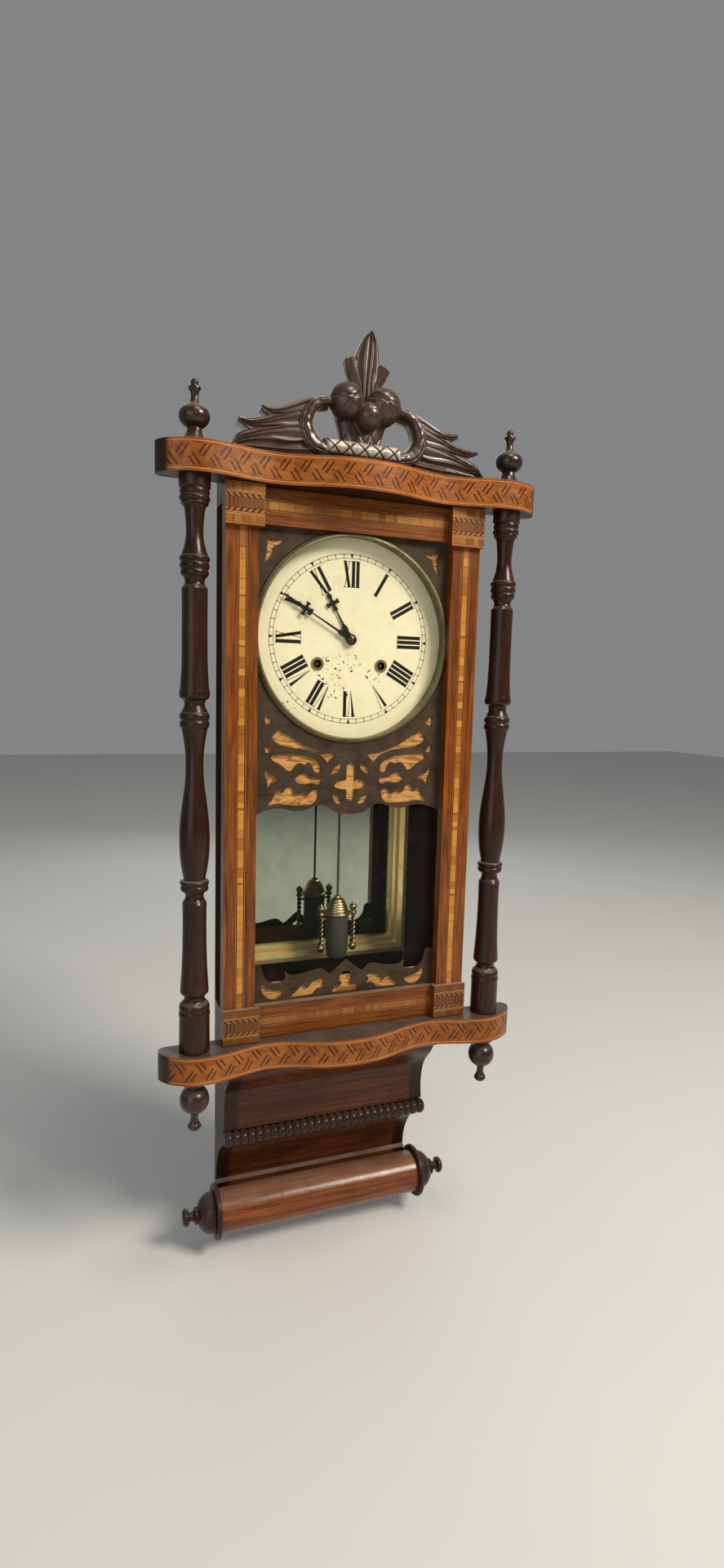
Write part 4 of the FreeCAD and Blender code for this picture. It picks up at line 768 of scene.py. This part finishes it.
def closed_relief(front, back_y, nu, nv):
    """Closes a front grid of points with a flat back at back_y."""
    verts = front + [(x, back_y, z) for x, y, z in front]
    faces = grid_faces(nu, nv)
    n = nu * nv
    faces += [tuple(reversed([i + n for i in f])) for f in grid_faces(nu, nv)]
    rim = list(range(nv)) + [i * nv + nv - 1 for i in range(1, nu)]
    rim += [(nu - 1) * nv + j for j in range(nv - 2, -1, -1)] + [i * nv for i in range(nu - 2, 0, -1)]
    for a, b in zip(rim, rim[1:] + rim[:1]):
        faces.append((a, b, b + n, a + n))
    return verts, faces


def path_frames(path):
    """Each (x, z, half width) point of a path, with the unit vector across the path there."""
    out, last = [], len(path) - 1
    for i, (x, z, w) in enumerate(path):
        x2, z2 = path[min(i + 1, last)][:2]
        x1, z1 = path[max(i - 1, 0)][:2]
        dx, dz = x2 - x1, z2 - z1
        length = math.hypot(dx, dz) or 1.0
        out.append((x, z, w, -dz / length, dx / length))
    return out


def mirror_x(part):
    """The same piece on the other side of the clock's middle."""
    verts, faces = part
    return [(-x, y, z) for x, y, z in verts], [tuple(reversed(f)) for f in faces]


# ---------- carved crest
def gouged(v, channels, depth):
    """Height taken off by side-by-side gouge cuts that leave sharp ridges between them; v runs -1 to 1."""
    u = ((v + 1) / 2 * channels) % 1.0
    return depth * (1 - (2 * u - 1) ** 2)


def leaf(spine, front, back, channels, depth, nu, nv, curl=0.0, sway=0.1):
    """Carved leaf: spine is (x, z, half width) points from its root to its tip; gouge cuts run along it."""
    grid = []
    for i, (x, z, w, nx, nz) in enumerate(path_frames(smooth_path(spine, nu))):
        t = i / (nu - 1)
        w = max(w, 0.25)
        for j in range(nv):
            v = 2 * j / (nv - 1) - 1
            bulge = (1 - v * v) ** 0.5
            turned = max(-1.0, min(0.999, v + sway * math.sin(3.2 * t + 2.0 * v) * (1 - v * v)))
            cut = gouged(turned, channels, depth) * min(1.0, w / 5.0) * min(1.0, 2.2 * bulge)
            lift = bulge * (7.5 - 3.0 * t) - cut
            lift += curl * t * t * (0.4 + 0.6 * abs(v))
            grid.append((x + nx * w * v, front - lift, z + nz * w * v))
    return closed_relief(grid, back, nu, nv)


def scroll_ring(spine, front, back, nu=70, nv=25):
    """C-shaped scroll: a thick band with two carved grooves along it."""
    grid = []
    for x, z, w, nx, nz in path_frames(smooth_path(spine, nu)):
        for j in range(nv):
            v = 2 * j / (nv - 1) - 1
            lift = 8.0 * (1 - v * v) ** 0.5
            lift -= 1.6 * math.exp(-((v - 0.45) / 0.1) ** 2) + 1.4 * math.exp(-((v - 0.72) / 0.07) ** 2)
            lift += 0.5 * mnoise.noise(Vector((x * 0.2, z * 0.2, v * 2)))
            grid.append((x + nx * w * v, front - lift, z + nz * w * v))
    return closed_relief(grid, back, nu, nv)


def fruit(cx, cy, cz, r, cuts, seed, nu=72, nv=56):
    """Round carved fruit; each shallow cut across it is a direction and how far along that it lies."""
    verts = []
    for i in range(nv):
        lat = math.pi * (i / (nv - 1) - 0.5)
        for k in range(nu):
            lon = 2 * math.pi * k / nu
            d = Vector((math.cos(lat) * math.cos(lon), math.cos(lat) * math.sin(lon), math.sin(lat)))
            rr = r + 0.3 * mnoise.noise(d * 3 + Vector((seed, 0, 0)))
            for normal, at in cuts:
                away = d.dot(Vector(normal).normalized()) - at
                rr -= r * (0.075 * math.exp(-(away / 0.04) ** 2) + 0.05 / (1 + math.exp(-away / 0.02)))
            verts.append((cx + d.x * rr, cy + d.y * rr, cz + d.z * rr))
    return verts, grid_faces(nv, nu, wrap=True)


def lattice(x, z, slope, pitch, half):
    """Depth of two crossing sets of cuts at a point, 1 in the middle of a cut."""
    cut = 0.0
    for lean in (1, -1):
        u = (x + lean * z * slope) / pitch
        cut = max(cut, math.exp(-((u - round(u)) * pitch / half) ** 2))
    return cut


def cross_bar(x0, x1, z0, z1, front, back):
    """Cushioned bar with a crosshatch cut into it."""
    nu, nv = 150, 30
    grid = []
    for i in range(nu):
        x = x0 + (x1 - x0) * i / (nu - 1)
        for j in range(nv):
            v = j / (nv - 1)
            z = z0 + (z1 - z0) * v
            lift = 6.5 * math.sin(math.pi * (0.08 + 0.84 * v)) ** 0.7
            cut = lattice(x + 2, z - z0 - 7, 1, CROSS_PITCH, 0.85)
            end = min(1.0, (x - x0) / 4.0, (x1 - x) / 4.0)
            grid.append((x, front - lift * max(end, 0.0) ** 0.5 + 2.3 * cut, z))
    return closed_relief(grid, back, nu, nv)


def basket(front, back):
    """Tapering basket under the fruit, scored with a wide lattice."""
    nu, nv = 60, 44
    grid = []
    for i in range(nv):
        t = i / (nv - 1)
        z = 74.0 + 34.0 * t
        half = 21.5 + 4.5 * t + 7.0 * t * t
        for j in range(nu):
            v = 2 * j / (nu - 1) - 1
            x = half * v - 2.0 * (1 - t)
            cut = lattice(x, z - 74.0, 0.62, 13.0, 0.6)
            grid.append((x, front - 9.0 * (1 - v * v) ** 0.5 + 1.3 * cut, z))
    return closed_relief(grid, back, nv, nu)


def top_leaf():
    """Upright leaf with a smaller leaf folded out on each side."""
    back, low = -120.5, -126.5
    middle = [(0.5, 108, 9.0), (0.6, 126, 11.0), (1.0, 142, 12.0), (2.0, 156, 12.8), (3.4, 168, 11.0),
              (4.6, 179, 7.0), (5.2, 187.0, 0.8)]
    left = [(-4, 126, 8.0), (-8.5, 140, 7.4), (-13, 151, 7.0), (-15.6, 159.0, 6.4)]
    right = [(9, 126, 8.0), (13, 138, 7.4), (18.2, 147, 7.0), (21.6, 154.0, 6.0)]
    return [leaf(middle, -129.5, back, 4, 2.4, 70, 61, 2.0, 0.16),
            leaf(left, low, back, 2, 2.0, 40, 33, 5.0), leaf(right, low, back, 2, 2.0, 40, 33, 5.0)]


CREST_BACK = -119.0


def side_leaves():
    """Three leaves that sweep out from the scroll, one above the other, and the low edge under them."""
    upper = [(40, 111, 6.5), (56, 108.0, 7.5), (72, 100.5, 8.4), (88, 95.8, 6.0), (100, 94.8, 4.6),
             (109.0, 97.4, 2.2)]
    middle = [(62, 96, 9.0), (74, 91, 11.0), (90, 86.0, 9.0), (106, 82.0, 6.4), (120, 79.6, 4.8),
              (133.0, 82.2, 1.8)]
    lower = [(62, 78, 10.0), (78, 75, 12.5), (96, 72.0, 10.5), (112, 68.5, 8.8), (128, 64.0, 6.8),
             (140.0, 56.5, 2.6)]
    edge = [(58, 62, 7.5), (80, 60.5, 8.0), (105, 59.5, 6.0), (126, 58.0, 4.0), (136, 56, 1.0)]
    return [leaf(upper, -126.0, CREST_BACK, 3, 2.2, 70, 49, 5.0, -0.22),
            leaf(middle, -128.0, CREST_BACK, 4, 2.3, 70, 57, 5.0, -0.22),
            leaf(lower, -129.5, CREST_BACK, 4, 2.4, 70, 57, 4.0, -0.2),
            leaf(edge, -127.5, CREST_BACK, 2, 2.0, 50, 33, 0.0)]


ring = scroll_ring([(37, 112, 4.6), (46, 110.8, 5.4), (55, 106.0, 6.0), (61.5, 97, 6.8), (63.8, 86.5, 7.6),
                    (61.0, 76, 8.4), (54.5, 68.5, 8.2), (46.0, 65.0, 7.0), (37.0, 63.0, 5.0)],
                   -131.0, CREST_BACK)
parts = side_leaves() + [ring]
parts += [mirror_x(p) for p in parts]
parts += [basket(-126.0, CREST_BACK), cross_bar(-44.5, 41.0, 60.0, 75.0, -134.5, CREST_BACK)]
for side in (-1, 1):
    cuts = [((0.15 * side, -0.25, 1.0), 0.30), ((-0.75 * side, -0.35, -0.55), 0.42)]
    parts.append(fruit(19.8 * side, -133.0, 114.0, 20.0, cuts, 3.0 + side))
parts.append(fruit(1.6, -138.6, 101.0, 14.6, [((0.2, -0.3, 1.0), 0.62)], 9.0))
parts += top_leaf()
parts += [closed_relief([(x, -131.0, z) for x in (-139.0, 139.0) for z in (53.6, 58.5)], -119.5, 2, 2)]
build("crest_carving", join_parts(parts), CARVED, "case", ["crest"])


# ---------- dial markings
PAINT = 0.06
PAINT_Y = corner("dial_pan")[0][1] - PAINT
# Radii of the numerals and the minute track, then widths of strokes: all are half widths but THICK.
R_IN, R_OUT = 57.0, 84.8
TRACK_IN, TRACK_OUT = 87.8, 92.4
THICK, THIN, SERIF, LIMB = 3.9, 0.36, 0.34, 1.75


def on_dial(theta, t, r):
    """Point on the dial: t is across, r outwards, at the hour angle theta."""
    return (math.sin(theta) * r + math.cos(theta) * t, PAINT_Y,
            DIAL_Z + math.cos(theta) * r - math.sin(theta) * t)


def bar(theta, foot, top, r_foot=R_IN, r_top=R_OUT):
    """Flat bar of paint: foot and top are its left and right edge at its two radii."""
    ends = [(foot[0], r_foot), (foot[1], r_foot), (top[1], r_top), (top[0], r_top)]
    return [on_dial(theta, t, r) for t, r in ends], [(0, 1, 2, 3)]


def serif(theta, mid, half, r):
    """Thin line across the end of a letter."""
    ends = (mid - half, mid + half)
    return bar(theta, ends, ends, r - SERIF, r + SERIF)


def around(at, half):
    """The two edges of something that is centred on at."""
    return (at - half, at + half)


def numeral(hour, text):
    """Roman numeral that stands on the inner circle, its foot towards the middle."""
    theta = math.radians(30 * hour)
    width = {"I": 5.2, "V": 9.4, "X": 9.4}
    at, out = -sum(width[c] for c in text) / 2, []
    for c in text:
        mid = at + width[c] / 2
        if c == "I":
            out.append(bar(theta, around(mid, THICK / 2), around(mid, THICK / 2)))
            serifs = [(mid, 2.5, R_IN), (mid, 2.5, R_OUT)]
        elif c == "V":
            lo, hi = mid - 2.9, mid + 3.3
            out.append(bar(theta, (mid + 0.1, mid + 0.5), around(lo, LIMB)))
            out.append(bar(theta, (mid + 0.3, mid + 0.3 + THIN), around(hi, THIN)))
            serifs = [(lo, 2.4, R_OUT), (hi, 1.4, R_OUT)]
        else:
            lo, hi = mid - 2.5, mid + 2.5
            out.append(bar(theta, around(hi, LIMB), around(lo, LIMB)))
            out.append(bar(theta, around(lo, THIN), around(hi, THIN)))
            serifs = [(lo, 1.6, R_IN), (hi, 2.3, R_IN), (lo, 2.3, R_OUT), (hi, 1.6, R_OUT)]
        out += [serif(theta, *row) for row in serifs]
        at += width[c]
    return out


def circle(r, half, count=240):
    """Painted ring of radius r."""
    verts = [on_dial(2 * math.pi * k / count, 0, rr) for k in range(count) for rr in around(r, half)]
    faces = []
    for k in range(count):
        a, b = 2 * k, 2 * ((k + 1) % count)
        faces.append((a, a + 1, b + 1, b))
    return verts, faces


marks = [circle(TRACK_OUT, 0.27), circle(TRACK_IN, 0.23)]
for minute in range(60):
    theta = math.radians(6 * minute)
    if minute % 5:
        marks.append(bar(theta, (-0.3, 0.3), (-0.3, 0.3), TRACK_IN, TRACK_OUT))
        marks += [bar(theta, (-0.8, 0.8), (-0.8, 0.8), r - 0.2, r + 0.2) for r in (88.2, 92.0)]
    else:
        marks.append(bar(theta, (-0.25, 0.25), (-1.9, 1.9), 88.0, 92.3))
for hour, text in enumerate(("XII", "I", "II", "III", "IIII", "V", "VI", "VII", "VIII", "IX", "X", "XI")):
    marks += numeral(hour, text)
build("dial_markings", join_parts(marks), NUMERAL, "case", smooth=False)


# ---------- pendulum side rods
def twisted_rod(x, y):
    """Rope-twisted brass rod with an acorn on top and a knob below."""
    nu, nv, twists = 90, 24, 7.0
    verts = []
    for i in range(nu):
        t = i / (nu - 1)
        z = ROD_LOW + (ROD_HIGH - ROD_LOW) * t
        for k in range(nv):
            a = 2 * math.pi * k / nv
            r = 2.2 + 0.95 * math.cos(2 * a - t * 2 * math.pi * twists)
            verts.append((x + r * math.cos(a), y + r * math.sin(a), z))
    parts = [(verts, grid_faces(nu, nv, wrap=True))]
    knob = [(0.4, -497.0), (2.2, -496.4), (3.9, -494.4), (4.6, -492.0), (4.2, -489.8), (2.8, -488.4),
            (3.4, -487.6), (3.4, -486.6), (2.0, -486.0)]
    cap = [(2.2, -451.6), (3.9, -451.0), (4.6, -449.6), (4.2, -448.2), (2.9, -447.4), (3.3, -445.4),
           (4.4, -443.4), (4.7, -441.6), (3.9, -439.8), (2.4, -438.8), (1.7, -437.9), (1.3, -437.0),
           (0.3, -436.5)]
    parts.append(lathe(smooth_path(knob, 34), (x, y, 0)))
    parts.append(lathe(smooth_path(cap, 46), (x, y, 0)))
    return parts


# The short arms that join the rods to the jar.
ARM_REACH, ARM_Z = 8.5, -455.0
lo, hi = corner("bob_rods")
rod_y, centre_x = (lo[1] + hi[1]) / 2, (lo[0] + hi[0]) / 2
rods = []
for x in (lo[0] + ROD_INSET, hi[0] - ROD_INSET):
    rods += twisted_rod(x, rod_y)
    start = x if x < centre_x else x - ARM_REACH
    arm = [(start + ARM_REACH * i / 7, rod_y + 2.08 * math.cos(k * math.pi / 4),
            ARM_Z + 1.68 * math.sin(k * math.pi / 4)) for i in range(8) for k in range(8)]
    rods.append((arm, grid_faces(8, 8, wrap=True)))
BRASS_ROPE = brass("brass_rope", (0.32, 0.245, 0.115, 1), (0.16, 0.115, 0.055, 1), 0.28, 0.46, 0.55, 0.1,
                   rods=(centre_x, (hi[0] - lo[0]) / 2 - ROD_INSET, rod_y))
build("bob_twisted_rods", join_parts(rods), BRASS_ROPE, "pendulum", ["bob_rods"])


# ---------- cloth behind the frets
# Mesh size, radius of the opening for the dial, and the width beside it that is pulled to its edge.
CLOTH_STEP, CLOTH_HOLE, CLOTH_SNAP = 1.6, 114.9, 3.2


def cloth_grid(x0, x1, z0, z1, y, hole=CLOTH_HOLE):
    """Taut cloth with slight puckers, left open inside the dial ring."""
    nx, nz = max(2, int((x1 - x0) / CLOTH_STEP)), max(2, int((z1 - z0) / CLOTH_STEP))
    verts, faces = [], []
    for i in range(nx + 1):
        for j in range(nz + 1):
            x, z = x0 + (x1 - x0) * i / nx, z0 + (z1 - z0) * j / nz
            r = math.hypot(x, z - DIAL_Z)
            if hole and hole - CLOTH_SNAP < r < hole:
                x, z = x * hole / r, DIAL_Z + (z - DIAL_Z) * hole / r
            wave = 0.12 * mnoise.noise(Vector((x * 0.05, z * 0.12, 3.0)))
            verts.append((x, y + wave, z))
    for i in range(nx):
        for j in range(nz):
            a = i * (nz + 1) + j
            quad = (a, a + nz + 1, a + nz + 2, a + 1)
            cx = sum(verts[k][0] for k in quad) / 4
            cz = sum(verts[k][2] for k in quad) / 4
            if not hole or math.hypot(cx, cz - DIAL_Z) > hole - 0.3:
                faces.append(quad)
    return verts, faces


def cloth_piece(name, parts, node):
    """One silk from its grids, without the points that no face uses."""
    verts, faces = join_parts(parts)
    used = sorted({i for f in faces for i in f})
    at = {v: k for k, v in enumerate(used)}
    part = [verts[i] for i in used], [tuple(at[i] for i in f) for f in faces]
    piece = build(name, part, look[node], "door", [node])
    "fret_" + node.split("_")[1]


# The upper corners that the dial leaves free, and the height where the cloth below the dial ends.
CORNER_X, CORNER_Z, BELOW_Z = 78.0, -54.0, DIAL_Z - 70
lo, hi = corner("fabric_upper")
silk_y = (lo[1] + hi[1]) / 2
cloth_piece("silk_upper", [
    cloth_grid(lo[0], hi[0], lo[2], BELOW_Z, silk_y),
    cloth_grid(CORNER_X, hi[0], CORNER_Z, hi[2], silk_y),
    cloth_grid(lo[0], -CORNER_X, CORNER_Z, hi[2], silk_y),
], "fabric_upper")
lo, hi = corner("fabric_lower")
cloth_piece("silk_lower", [cloth_grid(lo[0], hi[0], lo[2], hi[2], silk_y, 0)], "fabric_lower")


# ---------- stage, lights and camera
# From here on lengths are in metres.
FLOOR_SIZE, FLOOR_GAP = 14.0, 0.02
WORLD_TONE, WORLD_STRENGTH = (0.79, 0.81, 0.80, 1), 0.29


def plane(name, size, at, mat):
    """Flat square of the stage."""
    mesh = bpy.data.meshes.new(name)
    h = size / 2
    mesh.from_pydata([(-h, -h, 0), (h, -h, 0), (h, h, 0), (-h, h, 0)], [], [(0, 1, 2, 3)])
    obj = bpy.data.objects.new(name, mesh)
    obj.location = at
    obj.data.materials.append(mat)
    scene.collection.objects.link(obj)


def area_light(name, at, target, size, power, tone):
    """Soft rectangular lamp that faces its target; power is in watts."""
    data = bpy.data.lights.new(name, "AREA")
    data.shape = "RECTANGLE"
    data.size, data.size_y = size
    data.energy = power
    data.color = tone
    obj = bpy.data.objects.new(name, data)
    obj.location = at
    obj.rotation_mode = "QUATERNION"
    obj.rotation_quaternion = (Vector(target) - Vector(at)).to_track_quat("-Z", "Y")
    scene.collection.objects.link(obj)


plane("floor", FLOOR_SIZE, (0, 0, cad_box[0].z - FLOOR_GAP), stage_paint("floor_pale", (0.66, 0.66, 0.65, 1)))
middle = (0.0, -0.05, -0.35)
area_light("key", (1.3, -1.9, 1.5), middle, (0.9, 0.9), 86, (1.0, 0.92, 0.80))
area_light("fill", (-1.7, -1.9, 0.1), middle, (1.6, 1.8), 12, (0.95, 0.97, 1.0))
area_light("top", (0.2, -0.9, 1.7), (0.0, -0.1, 0.0), (0.6, 0.5), 13, (1.0, 0.95, 0.88))
area_light("back", (0.6, 2.2, 0.6), middle, (1.8, 1.8), 8, (1.0, 1.0, 1.0))

world = bpy.data.worlds.new("pale_room")
world.use_nodes = True
background = world.node_tree.nodes["Background"]
background.inputs[0].default_value = WORLD_TONE
background.inputs[1].default_value = WORLD_STRENGTH
scene.world = world
scene.view_settings.view_transform = "Standard"

# The camera fitted to the photo: its place in metres and its angles.
CAM_AT = (-0.29996, -0.93369, -0.17772)
YAW, PITCH, ROLL = math.radians(21.008), math.radians(6.977), math.radians(1.53)
ahead = Vector((math.sin(YAW) * math.cos(PITCH), math.cos(YAW) * math.cos(PITCH), -math.sin(PITCH)))
right = Vector((math.cos(YAW), -math.sin(YAW), 0))
up = right.cross(ahead)
right, up = (math.cos(ROLL) * right + math.sin(ROLL) * up,
             -math.sin(ROLL) * right + math.cos(ROLL) * up)
cam_data = bpy.data.cameras.new("camera")
cam_data.lens = 17.99
cam_data.sensor_width = 36.0
cam_data.clip_start = 0.02
cam = bpy.data.objects.new("camera", cam_data)
cam.matrix_world = Matrix((
    (right.x, up.x, -ahead.x, CAM_AT[0]), (right.y, up.y, -ahead.y, CAM_AT[1]),
    (right.z, up.z, -ahead.z, CAM_AT[2]), (0, 0, 0, 1)))
scene.collection.objects.link(cam)
bpy.context.scene.camera = cam

bpy.context.view_layer.update()
